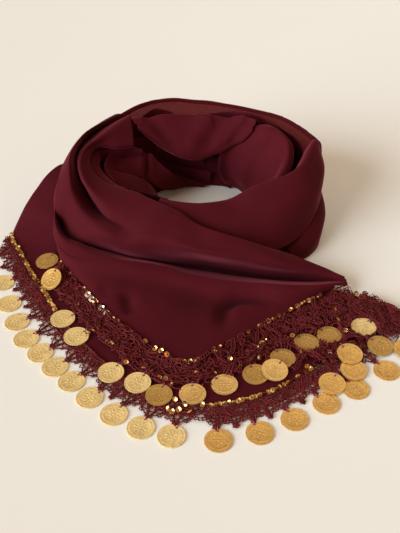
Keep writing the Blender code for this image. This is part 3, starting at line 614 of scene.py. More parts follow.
def cloth_piece(name, points, facing, material, thickness, kept=None):
    """A thin shell whose shown side runs through a grid of points. Its UV map is in metres of cloth."""
    rows, columns = points.shape[:2]
    along = chord_knots(points) * MM
    across = chord_knots(np.swapaxes(points, 0, 1)) * MM
    uv = np.stack(np.meshgrid(along, across, indexing="ij"), axis=-1).reshape(-1, 2)
    flipped = (sheet_normals(points, facing) * np.cross(
        np.gradient(points, axis=0), np.gradient(points, axis=1))).sum() < 0
    faces = []
    for i in range(rows - 1):
        for j in range(columns - 1):
            if kept is None or kept(i / (rows - 1), j / (columns - 1)):
                a, b = i * columns + j, (i + 1) * columns + j
                faces.append((a, a + 1, b + 1, b) if flipped else (a, b, b + 1, a + 1))
    piece = piece_from(name, points.reshape(-1, 3), faces, material, uv)
    # the fold depth, which the chiffon uses to paint shade into the folds
    depths = piece.data.attributes.new("fold_depth", "FLOAT", "POINT")
    depths.data.foreach_set("value", fold_depths(points, facing).astype(np.float32).ravel())
    if thickness:
        solid = piece.modifiers.new("Cloth thickness", "SOLIDIFY")
        solid.thickness = thickness * MM
        solid.offset = -1.0
    return piece


def polar_of(points):
    """Angle in degrees, 0 to 360, and distance of points from the loop's axis."""
    away = points[..., :2] - np.array(LOOP_AXIS)
    return np.degrees(np.arctan2(away[..., 1], away[..., 0])) % 360, np.linalg.norm(away, axis=-1)


def grid_tree(points):
    """A search tree over a grid of points."""
    rows, columns = points.shape[:2]
    faces = [(i * columns + j, (i + 1) * columns + j, (i + 1) * columns + j + 1, i * columns + j + 1)
             for i in range(rows - 1) for j in range(columns - 1)]
    return BVHTree.FromPolygons([Vector(p) for p in points.reshape(-1, 3)], faces)


def height_under(tree, x, y, otherwise):
    """Height of a surface at x and y, felt for from above."""
    hit = tree.ray_cast(Vector((x, y, RAY_TOP)), Vector((0, 0, -1)))
    return hit[0].z if hit[0] is not None else otherwise


def eased(points, share, rounds):
    """Relax a grid towards its neighbours' mean by a share that may differ from point to point."""
    for _ in range(rounds):
        mean = points.copy()
        mean[1:-1, 1:-1] = (points[:-2, 1:-1] + points[2:, 1:-1] + points[1:-1, :-2] + points[1:-1, 2:]) / 4
        points = points + (mean - points) * share[..., None]
    return points


def front_in_one(drape, point):
    """The front drape carried on without a break over the point and down to its hem."""
    tree = grid_tree(point)
    border = np.concatenate((point[0, :-1], point[:, -1]))
    angles, distances = polar_of(border)
    order = np.argsort(angles)
    rows = []
    for row in drape:
        angle, near = polar_of(row[-1])
        far = max(near, np.interp(angle, angles[order], distances[order]))
        far = near if angle < POINT_BEGINS else far
        line = []
        for share in np.linspace(0, 1, POINT_STEPS + 1)[1:]:
            distance = near + (far - near) * share
            x, y, _ = round_axis(np.array((angle, min(distance, far - 0.05), 0.0)))
            height = height_under(tree, x, y, line[-1][2] if line else row[-1, 2])
            fall = math.exp(-((distance - near) / CREASE_WIDTH) ** 2) * (1 - share ** 4)
            line.append((x, y, height + (row[-1, 2] - height) * fall))
        rows.append(np.concatenate((row, line)))
    points = np.array(rows)
    angle = polar_of(points[:, drape.shape[1] - 1])[0]
    past = np.arange(points.shape[1])[None, :] - (drape.shape[1] - 1)
    soft = np.clip((CREASE_TIGHT - angle) / CREASE_TIGHTENS, LEAST_EASE, 1.0)[:, None]
    soft = soft * np.exp(-(past / EASED_COLUMNS) ** 2)
    soft *= np.clip((angle - POINT_BEGINS) / EASE_BEGINS, 0, 1)[:, None]
    return eased(points, soft, EASE_ROUNDS)


def dented(points, first_column, hollows):
    """Press soft hollows into the cloth that lies flat, from a column of its grid onwards."""
    for depth, width, route in hollows:
        route = np.asarray(route, float)
        knots = chord_knots(route)
        line = smooth(knots, route, evenly(knots, 40))
        away = np.linalg.norm(points[:, first_column:, None, :2] - line[None, None], axis=3)
        share = away.argmin(axis=2) / (len(line) - 1)
        press = depth * fading(share, HOLLOW_ENDS)
        points[:, first_column:, 2] -= press * np.exp(-(away.min(axis=2) / width) ** 2)
    return points


def front_kept(u, v):
    """Whether a face of the front cloth is there: over the point, or on the drape itself."""
    front = sheets["front"]
    drape_ends = sheets["front_drape"].shape[1] - 1
    row, column = round(u * (front.shape[0] - 1)), round(v * (front.shape[1] - 1))
    return column < drape_ends or polar_of(front[row, drape_ends])[0] >= POINT_BEGINS


# ---------------------------------------------------------------- the stretches of cloth
# How each stretch is dressed: its solid, its sections and grid as the solid has them, the way its shown
# side looks, the folds pressed into it, the size that it was cut to, and how it is held.
# A fold is: height, width on its left, width on its right, and its route in shares along and across.
SWAG_FOLDS = (
    (2.6, 12, 9, ((0.62, 0.10), (0.54, 0.40), (0.43, 0.80))),
    (-2.8, 7, 7, ((0.14, 0.08), (0.20, 0.45), (0.34, 0.85))),
    (-2.4, 6, 8, ((0.78, 0.08), (0.70, 0.35), (0.61, 0.75))),
    (1.6, 5, 5, ((0.90, 0.15), (0.84, 0.50), (0.76, 0.85))),
)
INNER_DRAPE_FOLDS = (
    (2.8, 7, 10, ((0.38, 0.06), (0.36, 0.40), (0.26, 0.92))),
    (-3.0, 7, 5, ((0.08, 0.20), (0.09, 0.50), (0.05, 0.92))),
    (-1.8, 7, 9, ((0.58, 0.10), (0.60, 0.50), (0.50, 0.95))),
)
STRETCHES = (
    {"node": "inner_turn", "sections": lambda: radial_sections(INNER_TURN_SECTIONS), "grid": (30, 6),
     "facing": "in", "seed": 1, "cut": (0.05, 0.186), "held": "folded"},
    {"node": "right_inner_drape", "sections": lambda: with_tail(INNER_DRAPE_SECTIONS, INNER_DRAPE_TAIL),
     "grid": (16, 10), "facing": "in", "seed": 2, "folds": INNER_DRAPE_FOLDS,
     "cut": (0.08, 0.138), "held": "draped"},
    {"node": "back_swag", "sections": lambda: with_tail(SWAG_SECTIONS, SWAG_TAIL), "grid": (20, 11),
     "facing": "in", "seed": 3, "folds": SWAG_FOLDS, "cut": (0.05, 0.137), "held": "draped"},
    {"node": "outer_layer", "sections": lambda: with_tail(OUTER_LAYER_SECTIONS, OUTER_LAYER_TAIL),
     "grid": (30, 8), "facing": "out", "seed": 4, "cut": (0.097, 0.356), "held": "draped", "sheer": True},
    {"node": "right_base_fold", "sections": lambda: radial_sections(BASE_FOLD_SECTIONS), "grid": (12, 6),
     "facing": "out", "seed": 5, "cut": (0.044, 0.098), "held": "folded"},
    {"node": "right_wrap", "sections": lambda: radial_sections(RIGHT_WRAP_SECTIONS), "grid": (24, 10),
     "facing": "out", "seed": 6, "cut": (0.06, 0.207), "held": "draped"},
    {"node": "lower_point", "sections": lambda: np.asarray(LOWER_POINT_SECTIONS, float).reshape(-1, 2, 3),
     "grid": (44, 4), "facing": "up", "polar": False, "seed": 7, "cut": (0.05, 0.535),
     "held": "laid", "rests_on": ["table_top"], "calm": 0.3},
    {"node": "top_point", "sections": lambda: np.asarray(TOP_POINT_SECTIONS, float).reshape(-1, 3, 3),
     "grid": (26, 8), "facing": "up", "polar": False, "seed": 8, "cut": (0.065, 0.319),
     "held": "laid", "rests_on": ["lower_point_cloth"], "calm": 0.7},
    {"name": "rolled_band", "sections": lambda: ROLLED_BAND_SECTIONS, "grid": (110, 30),
     "polar": False, "facing": "up", "free": True, "calm": 0.3, "seed": 21,
     "cut": (0.029, 0.121), "held": "folded"},
    {"name": "pleat", "sections": lambda: PLEAT_SECTIONS, "grid": (110, 24), "polar": False,
     "facing": "in", "free": True, "calm": 0.4, "seed": 22, "cut": (0.022, 0.115),
     "held": "folded"},
    {"name": "innermost_fold", "sections": lambda: INNERMOST_FOLD_SECTIONS, "grid": (70, 24),
     "polar": False, "facing": "up", "free": True, "calm": 0.4, "seed": 23,
     "cut": (0.03, 0.084), "held": "folded"},
    {"name": "second_turn", "sections": lambda: radial_sections(SECOND_TURN_SECTIONS), "grid": (120, 16),
     "facing": "in", "free": True, "calm": 0.5, "seed": 24, "cut": (0.035, 0.24),
     "held": "folded"},
    {"name": "curled_end", "sections": lambda: CURLED_END_SECTIONS, "grid": (44, 12), "polar": False,
     "facing": "in", "free": True, "calm": 0.3, "seed": 25, "cut": (0.017, 0.04),
     "held": "folded"},
    {"node": "front_drape", "sections": lambda: FRONT_CLOTH_SECTIONS, "grid": (200, 96), "facing": "up",
     "free": True, "calm": 0.6, "seed": 9, "cut": (0.11, 0.392), "held": "draped",
     "rests_on": ["hidden_turns_cloth", "lower_point_cloth"], "stands_for": ("front_drape", "top_point")},
)
FOLD_ENDS = 0.22              # share of a fold's length over which each of its ends fades
HOLLOW_ENDS = 0.3             # the same for a hollow
RIPPLE_SIZE = 26.0            # length of the cloth's faint waves
RAY_TOP = 200                 # height from which a surface is felt for
TURN_STEPS = 132
RING_STEPS = 26
FOLD_REACH = 30.0             # how far to each side the cloth tells how deep a fold is
FOLD_DEEP = 5.0               # depth at which a fold has all of its added shade
FOLD_SHADE = 0.22             # that shade, as a share of the lit colour
HIDDEN_TOP = 66.0             # the hidden turns stay below this
COVER_PROBES = (-4.0, 0.0, 4.0)   # distances from a place at which the front cloth over it is felt for
COVER_GAP = 3.5               # the hidden turns stay this far under the front cloth
HIDDEN_FOOT = 0.9             # height of the hidden turns' lower edge
LAYER_PITCH = 11.0            # between the folded edges of the hidden turns
LAYER_DEPTH = 3.0
LOWER_THREAD = 0.62           # radius of a chain of thread
TOP_THREAD = 0.50
STITCH_STEP = 1.2             # between two stitches of a chain of thread
STITCH_SWING = 0.26           # how far the stitches swing to each side
LOOP_PITCH = 4.6              # between the loops of the band
TIER_DEPTH = 5.6              # from one tier of loops to the next
LOOP_THREAD = 0.42            # radius of the thread that a coin hangs from
LOOP_STEPS = 14
LOOP_HALF_HEIGHT = 1.5        # of a coin's loop of thread, along the coin's axis
LOOP_HALF_LENGTH = 2.1
LOOP_BEYOND_HOLE = 2.0        # from the coin's hole out to the middle of its loop
BAR_PITCH = 2.6               # between the bars of a ladder of thread
LEAVES = 3                    # leaf-shaped loops in a point
UNPRESSED_COIN = (-140, -28)  # the trim's threads are not pressed down under this coin
RESTING_COINS = ([(x, y, TOP_COIN_REST) for x, y in TOP_COINS_LEFT + TOP_COINS_RIGHT]
                 + [(x, y, rest) for (x, y), rest in zip(CORNER_COINS, CORNER_COIN_RESTS)]
                 + [coin[:3] for coin in LOOSE_COINS if coin[:2] != UNPRESSED_COIN])
SEQUIN_PITCH = 3.9
LIT_PAINTED_BRASS = (1.0, 0.72, 0.29)  # painted light: paler, less metallic brass on the coins towards the left, where the light falls
WARM_BRASS = (0.90, 0.53, 0.15)
DULL_BRASS = (0.70, 0.41, 0.11)
LIT_PAINTED_COINS = (1, 2, 3, 4, 5, 6, 7, 8, 9, 10, 11, 18, 19, 20, 21, 29)
WARM_COINS = (12, 13, 14, 15, 16, 17, 30, 33, 34, 36)
DULL_COINS = (22, 25, 26, 27, 28, 31, 32, 37)
# The steps of a coin's face from its edge inwards. Columns: width and rise.
COIN_STEPS = ((0.20, 0.0), (0.45, 0.0), (0.25, -0.12), (1.6, 0.0), (0.18, 0.08), (0.18, -0.08))
COIN_GROUND = 0.12            # depth of a coin's ground under its rim
BEADS = 32
BEAD_RING = 9.1               # distance of the beads from the coin's centre
BEAD_SIZE = (0.34, 0.34, 0.16)
BEADLESS = 0.20               # angle, in radians, left free of beads to each side of the hole
PETALS = 8
PETAL_RING = 3.7
PETAL_SIZE = (2.0, 0.80, 0.17)
DOT_RING = 5.9                # the dots stand between the petals
DOT_SIZE = (0.50, 0.50, 0.15)
BOSS_SIZE = (1.25, 1.25, 0.20)
HOLE_PLACE = 8.6              # from a coin's centre to its hole
KEY_FROM = Vector((-0.80, -0.52, 0.30))
KEY_SPREAD = math.radians(48.0)
KEY_COLOUR = (0.785, 0.907, 1.0)
CEILING_FROM = Vector((0.50, 0.50, 1.50))
CEILING_COLOUR = (0.867, 0.963, 1.0)
SKY_COLOUR = (1.0, 0.68, 0.42, 1.0)

POINT_BEGINS = 203.0          # angle from which the front drape goes on over the point
POINT_STEPS = 44
# Soft hollows in the cloth of the point: depth, width, and the route in x and y.
HOLLOWS = (
    (5.0, 7.5, ((21, -104), (20, -86), (23, -69), (33, -61), (46, -59), (60, -60), (78, -57))),
    (4.0, 6.5, ((-68, -48), (-66, -60), (-61, -80))),
    (2.0, 7.0, ((-96, -44), (-80, -52))),
)
CREASE_WIDTH = 12.0           # over which the drape comes down onto the point
CREASE_TIGHT = 238.0          # angle past which the crease over the point is tight
CREASE_TIGHTENS = 22.0        # angle over which it gets so
LEAST_EASE = 0.12             # how far a tight crease is still relaxed, 1 being the most
EASED_COLUMNS = 7.0           # columns of the grid to each side of the crease that are relaxed
EASE_BEGINS = 8.0             # angle over which the relaxing sets in, from where the point begins
EASE_ROUNDS = 24

# Places along the hems, in millimetres: where the lower hem's bright run ends, resumes and stops, and
# where single sequins of the upper hem catch the light.
LOWER_RUN_ENDS = 236.0
LOWER_RUN_RESUMES = 412.0
LOWER_RUN_STOPS = 508.0
# Here they are pixels across and down in the camera's picture.
# painted highlights: the sequins at the first pixels are foiled near white, as sequins that catch the light
TOP_GLINT_SEEN = ((88, 294), (92.5, 298), (102, 308), (107, 312.5))
TOP_GOLD_SEEN = (
    (145, 341), (155, 348), (160, 352), (166, 355), (184, 361), (190, 362), (195, 364), (200, 361),
    (215, 349), (257, 322), (261, 320), (266, 318), (271, 316), (290, 308), (296, 305), (302, 303),
    (308, 300), (313, 298),
)
SEQUIN_BESIDE = (-1, 0, 1, 2, 3)  # distances outside a hem at which its sequins are looked for
SEQUIN_LIFT = 2.0             # their height over the hem
# How far out the trim lies crumpled, by the place along its hem: place, distance.
LOWER_HEAP = ((0, 12), (600, 12))
TOP_HEAP = ((0, 16), (110, 20), (200, 27), (240, 30), (262, 46), (280, 64), (335, 66), (360, 62))
CORNER_HEAP = ((0, 34), (25, 36), (60, 30))
# Single sequins on the trim: pixels across and down in the camera's picture, and the height.
SCATTERED_SEEN = (
    (73, 308, 7), (78, 305, 7), (77, 313, 7), (92, 303, 7), (99, 327, 6), (93, 330, 6), (88, 333, 5),
    (107, 342, 6), (112, 343, 6), (118, 341, 6), (152, 371, 7), (160, 377, 6), (166, 378, 6), (172, 384, 5),
    (175, 399, 5), (168, 408, 4), (172, 411, 4), (178, 409, 4), (190, 411, 4), (185, 404, 4), (230, 358, 7),
    (257, 347, 7), (262, 343, 7), (266, 341, 7), (253, 359, 7), (259, 357, 7), (287, 338, 7), (292, 335, 7),
    (307, 366, 5), (311, 369, 5), (335, 309, 9), (338, 319, 8), (346, 314, 8), (356, 293, 8), (330, 352, 6),
    (300, 352, 6), (345, 330, 7), (376, 303, 6), (383, 308, 6), (390, 313, 6), (380, 318, 6), (372, 322, 6),
    (388, 322, 6), (366, 298, 7), (126, 362, 6), (143, 368, 6), (240, 366, 6), (196, 372, 6), (215, 372, 6),
)

sheets = {}                   # the dressed points of each stretch, by its solid's name
hems = {}                     # the hems that the trim, the sequins and the coins share


# ---------------------------------------------------------------- materials
class Socket:
    """An output socket that takes part in sums and products."""

    def __init__(self, shader, socket):
        self.shader = shader
        self.socket = socket

    def math(self, operation, first, second=0.0):
        return self.shader.node("ShaderNodeMath", {"operation": operation}, {0: first, 1: second})[0]

    def __add__(self, other):
        return self.math("ADD", self, other)

    def __sub__(self, other):
        return self.math("SUBTRACT", self, other)

    def __rsub__(self, other):
        return self.math("SUBTRACT", other, self)

    def __mul__(self, other):
        return self.math("MULTIPLY", self, other)

    __radd__ = __add__
    __rmul__ = __mul__

    def power(self, exponent):
        return self.math("POWER", self, exponent)

    def wave(self, pitch):
        """A sine between 0 and 1 with this pitch."""
        return self.math("SINE", self * (math.tau / pitch)) * 0.5 + 0.5


class Finish:
    """A material under construction."""

    def __init__(self, name):
        self.material = bpy.data.materials.new(name)
        self.material.use_nodes = True
        self.tree = self.material.node_tree
        self.shader = self.tree.nodes["Principled BSDF"]

    def node(self, kind, settings, inputs):
        """Any node: its settings first, then the values or links of its sockets. Gives its outputs."""
        made = self.tree.nodes.new(kind)
        for key, value in settings.items():
            if key == "stops":
                for stop, (place, colour) in zip(made.color_ramp.elements, value):
                    stop.position = place
                    stop.color = (*colour, 1.0)
            else:
                setattr(made, key, value)
        for key, value in inputs.items():
            self.feed(made.inputs[key], value)
        return [Socket(self, output) for output in made.outputs]

    def feed(self, socket, value):
        if isinstance(value, Socket):
            self.tree.links.new(value.socket, socket)
        elif socket.type == "RGBA" and len(value) == 3:
            socket.default_value = (*value, 1.0)
        else:
            socket.default_value = value

    def set(self, **values):
        """Feed the shader's own sockets; an underscore in a name stands for a space."""
        for key, value in values.items():
            self.feed(self.shader.inputs[key.replace("_", " ")], value)

    def place(self):
        return self.node("ShaderNodeTexCoord", {}, {})[3]

    def noise(self, scale, detail=2.0, vector=None):
        vector = vector or self.place()
        return self.node("ShaderNodeTexNoise", {}, {"Vector": vector, "Scale": scale, "Detail": detail})[0]

    def blend(self, share, first, second):
        """A colour between two colours."""
        return self.node("ShaderNodeMix", {"data_type": "RGBA"}, {0: share, 6: first, 7: second})[2]

    def bump(self, height, distance, strength=1.0):
        return self.node("ShaderNodeBump", {}, {"Height": height, "Distance": distance,
                                                "Strength": strength})[0]


def shade(colour, share):
    """A colour with each channel at this share of itself."""
    return tuple(channel * share for channel in colour)


def chiffon(name, look, sheer=0.0):
    """Soft crepe chiffon: an even weave with slubs, a faint sheen, shade painted into its folds, and sheer
    where it is single.
    """
    finish = Finish(name)
    u, v, _ = finish.node("ShaderNodeSeparateXYZ", {}, {0: finish.node("ShaderNodeTexCoord", {}, {})[2]})
    weave = u.wave(look.weave_pitch) * v.wave(look.weave_pitch)
    grain = finish.noise(1500.0, 3.0)
    cloud = finish.noise(22.0, 2.0)
    tone = cloud * 0.5 + grain * 0.35 + weave * 0.15
    lit = tuple(look.chiffon_colour)
    deep = shade(lit, 0.62)
    # painted shade: the colour darkens towards FOLD_SHADE of the lit colour as the fold gets deeper
    painted_fold_shade = finish.node("ShaderNodeAttribute", {"attribute_name": "fold_depth"}, {})[2]
    finish.set(
        Base_Color=finish.blend(painted_fold_shade, finish.blend(tone, deep, shade(lit, 1.28)),
                                shade(lit, FOLD_SHADE)),
        Roughness=0.82, Normal=finish.bump(weave * 0.6 + grain * 0.8, 0.00012, 0.5),
        Sheen_Weight=look.sheen, Sheen_Roughness=0.36, Sheen_Tint=(1.0, 0.20, 0.27, 1.0),
        Specular_IOR_Level=0.05)
    if sheer:
        clear = finish.node("ShaderNodeBsdfTransparent", {}, {0: look.seen_through})[0]
        share = sheer * (1.0 - weave * 0.35) * (0.8 + grain * 0.4)
        whole = Socket(finish, finish.shader.outputs[0])
        mixed = finish.node("ShaderNodeMixShader", {}, {0: share, 1: whole, 2: clear})[0]
        finish.feed(finish.tree.nodes["Material Output"].inputs["Surface"], mixed)
    return finish.material


def crochet_thread(look):
    """Lustrous burgundy thread, twisted, darker and lighter at random."""
    finish = Finish("crochet_thread")
    cloud = finish.noise(160.0, 2.0)
    strand = finish.noise(1900.0, 2.0)
    lit = tuple(look.thread_colour)
    finish.set(
        Base_Color=finish.blend(cloud * 0.9 + strand * 0.7 - 0.3, shade(lit, 0.25),
                                shade(lit, 1.8)),
        Roughness=0.55, Normal=finish.bump(strand, 0.0002, 0.7), Sheen_Weight=0.10,
        Sheen_Tint=(1.0, 0.30, 0.26, 1.0), Specular_IOR_Level=0.16)
    return finish.material


def stamped_brass(name, colour, roughness, metallic=0.72):
    """Gilt brass, brighter and duller in patches at random."""
    finish = Finish(name)
    cloud = finish.noise(75.0, 3.0)
    worn = finish.noise(620.0, 3.0)
    finish.set(
        Base_Color=finish.blend(cloud * 0.8 + worn * 1.7 - 0.75, shade(colour, 0.56),
                                colour),
        Metallic=metallic, Roughness=cloud * 0.14 + worn * 0.14 + roughness,
        Normal=finish.bump(worn, 0.00025, 0.9))
    return finish.material


def sequin_foil(name, colour):
    """Foil sequins, each a little duller or brighter by where it lies."""
    finish = Finish(name)
    tarnish = finish.noise(240.0, 1.0)
    finish.set(
        Base_Color=finish.blend(tarnish, shade(colour, 0.7), colour),
        Metallic=1.0, Roughness=tarnish * 0.2 + 0.14)
    return finish.material


def table_top():
    """The plain warm table under the scarf."""
    finish = Finish("table_top")
    cloud = finish.noise(3.0, 2.0)
    finish.set(Base_Color=finish.blend(cloud, (0.86, 0.83, 0.76), (0.88, 0.86, 0.80)), Roughness=0.85,
               Specular_IOR_Level=0.1)
    return finish.material


# ---------------------------------------------------------------- the trim's layout
class Hem:
    """A cloth's edge that the trim is sewn to, as its own points with their outward directions."""

    def __init__(self, points):
        self.line = np.asarray(points, float)
        self.places = chord_knots(self.line)
        ahead = np.diff(self.line[:, :2], axis=0)
        ahead /= np.linalg.norm(ahead, axis=1, keepdims=True)
        ahead = np.vstack((ahead[:1], ahead[1:] + ahead[:-1], ahead[-1:]))
        ahead /= np.linalg.norm(ahead, axis=1, keepdims=True)
        self.out = np.column_stack((ahead[:, 1], -ahead[:, 0]))

    def at(self, place, distance):
        """x, y and height of the point at a place along the hem and a distance outside it."""
        point = [np.interp(place, self.places, self.line[:, k]) for k in range(3)]
        out = np.array([np.interp(place, self.places, self.out[:, k]) for k in range(2)])
        return np.array((point[0] + out[0] * distance, point[1] + out[1] * distance, point[2]))

    def nearest(self, spot):
        """The place along the hem and the distance outside it of a spot on the table."""
        fine = np.arange(0.0, self.places[-1], 1.0)
        reach = np.array([self.at(place, 0.0)[:2] for place in fine]) - spot
        distance = np.linalg.norm(reach, axis=1)
        return fine[distance.argmin()], distance.min()

    def seen_at(self, pixels):
        """The places along the hem whose sequins the camera sees nearest to these pixels."""
        spots = [(place, beside) for place in np.arange(0, self.places[-1], PLACE_STEP)
                 for beside in SEQUIN_BESIDE]
        where = pixels_of(np.array([self.at(*spot) + (0, 0, SEQUIN_LIFT) for spot in spots]))
        return [spots[np.linalg.norm(where - pixel, axis=1).argmin()][0] for pixel in pixels]


def trim_points(hem, coins, start, end):
    """Where the trim's points stand: their place, their length and the room to each side."""
    hung = sorted(hem.nearest(coin) for coin in coins)
    stand = [(place, distance - COIN_RADIUS) for place, distance in hung]
    marks = [start] + [place for place, _ in stand] + [end]
    for left, right in zip(marks, marks[1:]):
        plain = int((right - left) / PLAIN_POINT_PITCH)
        stand += [(left + (right - left) * (k + 1) / (plain + 1), PLAIN_POINT_LENGTH) for k in range(plain)]
    stand = [point for point in sorted(stand) if start + 3 < point[0] < end - 3]
    marks = [start] + [place for place, _ in stand] + [end]
    return [(*here, 0.5 * (here[0] - before), 0.5 * (after - here[0]))
            for before, here, after in zip(marks, stand, marks[2:])]


class Crochet:
    """Threads worked in flat coordinates along a hem and laid down beside it."""

    def __init__(self, hem, rest, seed, loose, gauge):
        self.hem = hem
        self.rest = rest
        self.loose = loose
        self.gauge = gauge
        self.chance = random.Random(seed)
        self.strands = []

    def laid(self, place, distance, lift):
        """A flat place on the trim, in the table frame."""
        point = self.hem.at(place, distance)
        settled = min(1.0, max(0.0, distance - TRIM_GAP) / TRIM_FALL)
        if self.rest is not None:
            point[2] += (self.rest - point[2]) * (1 - (1 - settled) ** 2)
        point[2] += lift - LACE_THICKNESS / 2
        for x, y, underside in RESTING_COINS:
            if math.hypot(point[0] - x, point[1] - y) < COIN_RADIUS + 0.4:
                point[2] = min(point[2], underside - self.gauge)
        return point

    def thread(self, knots, thickness, knots_shift=1.0, lift=0.0):
        """A chain of stitches along a curve through flat knots, each nudged a little."""
        nudge = self.loose * knots_shift
        spots = [(s + self.chance.uniform(-nudge, nudge), d + self.chance.uniform(-nudge, nudge),
                  lift + self.chance.uniform(0.0, 1.1) * (0.4 + self.loose)) for s, d in knots]
        spots = np.array(spots)
        along = chord_knots(spots[:, :2])
        count = max(3, int(along[-1] / STITCH_STEP))
        flat = smooth(along, spots, evenly(along, count))
        ahead = np.gradient(flat[:, :2], axis=0)
        ahead /= np.maximum(np.linalg.norm(ahead, axis=1, keepdims=True), 1e-6)
        beat = np.arange(count + 1)
        swing = STITCH_SWING * np.where(beat % 2 == 0, 1.0, -1.0)
        flat[:, 0] -= ahead[:, 1] * swing
        flat[:, 1] += ahead[:, 0] * swing
        points = np.array([self.laid(*row) for row in flat])
        points[:, 2] = np.maximum(points[:, 2], thickness)
        radii = thickness * np.where(beat % 2 == 0, 1.22, 0.78)
        self.strands.append((points, radii))

    def ladder(self, knots, width, nudge=1.0, lift=0.0):
        """Two chains side by side along a curve, with a bar across them every few stitches."""
        knots = np.asarray(knots, float)
        ahead = np.gradient(knots, axis=0)
        ahead /= np.maximum(np.linalg.norm(ahead, axis=1, keepdims=True), 1e-6)
        beside = np.column_stack((-ahead[:, 1], ahead[:, 0])) * width / 2
        sides = (knots + beside, knots - beside)
        along = chord_knots(knots)
        for side in sides:
            self.thread(side, self.gauge * 0.9, nudge, lift)
        for place in np.arange(BAR_PITCH / 2, along[-1], BAR_PITCH):
            self.thread([[np.interp(place, along, side[:, k]) for k in range(2)] for side in sides],
                        self.gauge * 0.85, nudge * 0.6, lift)

    def band(self, start, end, tiers):
        """The straight band: two chains on the hem, then tiers of close loops with chains through them."""
        length = end - start
        steps = int(length / 7.0)
        self.thread([(start + length * k / steps, 0.7) for k in range(steps + 1)], self.gauge * 1.1, 0.3, 0.5)
        self.thread([(start + length * k / steps, 2.4) for k in range(steps + 1)], self.gauge, 0.5, 0.3)
        loops = int(length / LOOP_PITCH)
        pitch = length / loops
        for tier in range(tiers):
            near = 2.2 + TIER_DEPTH * tier
            for k in range(loops):
                left = start + pitch * (k + 0.5 * (tier % 2))
                self.thread([(left, near), (left + pitch * 0.12, near + 2.4),
                             (left + pitch * 0.5, near + 4.2), (left + pitch * 0.88, near + 2.4),
                             (left + pitch, near)], self.gauge)
                self.thread([(left + pitch * 0.5, near + 3.4), (left + pitch * 0.6, near + 5.6),
                             (left + pitch, near + 7.3), (left + pitch * 1.4, near + 5.6),
                             (left + pitch * 1.5, near + 3.4)], self.gauge)
                self.thread([(left + pitch * 0.1, near + 0.6), (left + pitch * 0.9, near + 4.6)], self.gauge)
            for row in (2.6, 4.9):
                self.thread([(start + length * k / steps, near + row) for k in range(steps + 1)], self.gauge,
                            1.2, 0.4)

    def point(self, place, tip, left, right, foot_depth):
        """One point of the trim: leaf-shaped ladder loops that run together at its tip, edged with picots."""
        left, right = min(left, 13.0), min(right, 13.0)
        room = left + right
        reach = tip - foot_depth
        for k in range(LEAVES):
            foot = place - left + room * (k + 0.5) / LEAVES
            high = foot_depth - 1.0 + 1.4 * math.sin(math.pi * (k + 0.5) / LEAVES)
            lean, wide = foot - place, room / LEAVES * 0.40
            sides = []
            for side in (-1, 1):
                sides.append([(foot + side * wide * 0.4, high),
                              (place + lean * 0.95 + side * wide, high + reach * 0.22),
                              (place + lean * 0.72 + side * wide * 0.95, high + reach * 0.50),
                              (place + lean * 0.30 + side * wide * 0.4, foot_depth + reach * 0.82),
                              (place, tip)])
                self.thread(sides[-1], self.gauge)
            for one, other in zip(sides[0][1:4], sides[1][1:4]):
                self.thread([one, other], self.gauge * 0.9, 0.5)
        for k in range(LEAVES - 1):
            middle = place - left + room * (k + 1) / LEAVES
            self.thread([(middle - 2.4, foot_depth - 0.6), (middle - 1.8, foot_depth + 1.8),
                         (middle, foot_depth + 2.8), (middle + 1.8, foot_depth + 1.8),
                         (middle + 2.4, foot_depth - 0.6)], self.gauge)
            self.thread([(middle - 2.0, foot_depth + 2.0),
                         (middle * 0.6 + place * 0.4, foot_depth + reach * 0.5),
                         (middle * 0.3 + place * 0.7, foot_depth + reach * 0.8)], self.gauge)
        for side, edge in ((-1, left), (1, right)):
            for share in (0.10, 0.34, 0.58):
                s = place + side * edge * (0.98 - share * 0.80)
                d = foot_depth + reach * share
                self.thread([(s, d - 1.2), (s + side * 2.2, d - 1.4), (s + side * 3.1, d + 0.6),
                             (s + side * 1.8, d + 1.9), (s, d + 0.6)], self.gauge * 0.9)
        self.thread([(place - 1.4, tip - 3.0), (place - 1.8, tip - 0.6), (place, tip + 1.0),
                     (place + 1.8, tip - 0.6), (place + 1.4, tip - 3.0)], self.gauge * 1.15, 0.4)

    def heap(self, start, end, depths, crowd, high):
        """Loops and short ladders that lie crumpled over one another, as deep as the depths say."""
        deepest = max(depth for _, depth in depths)
        for k in range(int((end - start) * deepest * crowd)):
            s = self.chance.uniform(start, end)
            d = self.chance.uniform(3.0, deepest)
            far = np.interp(s, *zip(*depths))
            if d > far:
                continue
            turn = self.chance.uniform(0, math.tau)
            lift = self.chance.uniform(0.3, high)
            if k % 3:
                size = self.chance.uniform(3.0, 7.0)
                knots = [(s + size * math.cos(turn + t) * self.chance.uniform(0.6, 1.0),
                          max(1.0, d + size * math.sin(turn + t) * self.chance.uniform(0.4, 0.8)))
                         for t in (0.0, 1.3, 2.6, 3.9)]
                self.thread(knots, self.gauge, 0.4, lift)
            else:
                bend = self.chance.uniform(-0.5, 0.5)
                step = self.chance.uniform(4.0, 6.5)
                knots = [(s, d)]
                for _ in range(3):
                    s, d = s + step * math.cos(turn), max(1.5, min(far + 2.0, d + step * math.sin(turn)))
                    knots.append((s, d))
                    turn += bend
                self.ladder(knots, self.chance.uniform(2.2, 3.4), 0.4, lift)

    def piece(self, name, material):
        return threads_piece(name, self.strands, material)


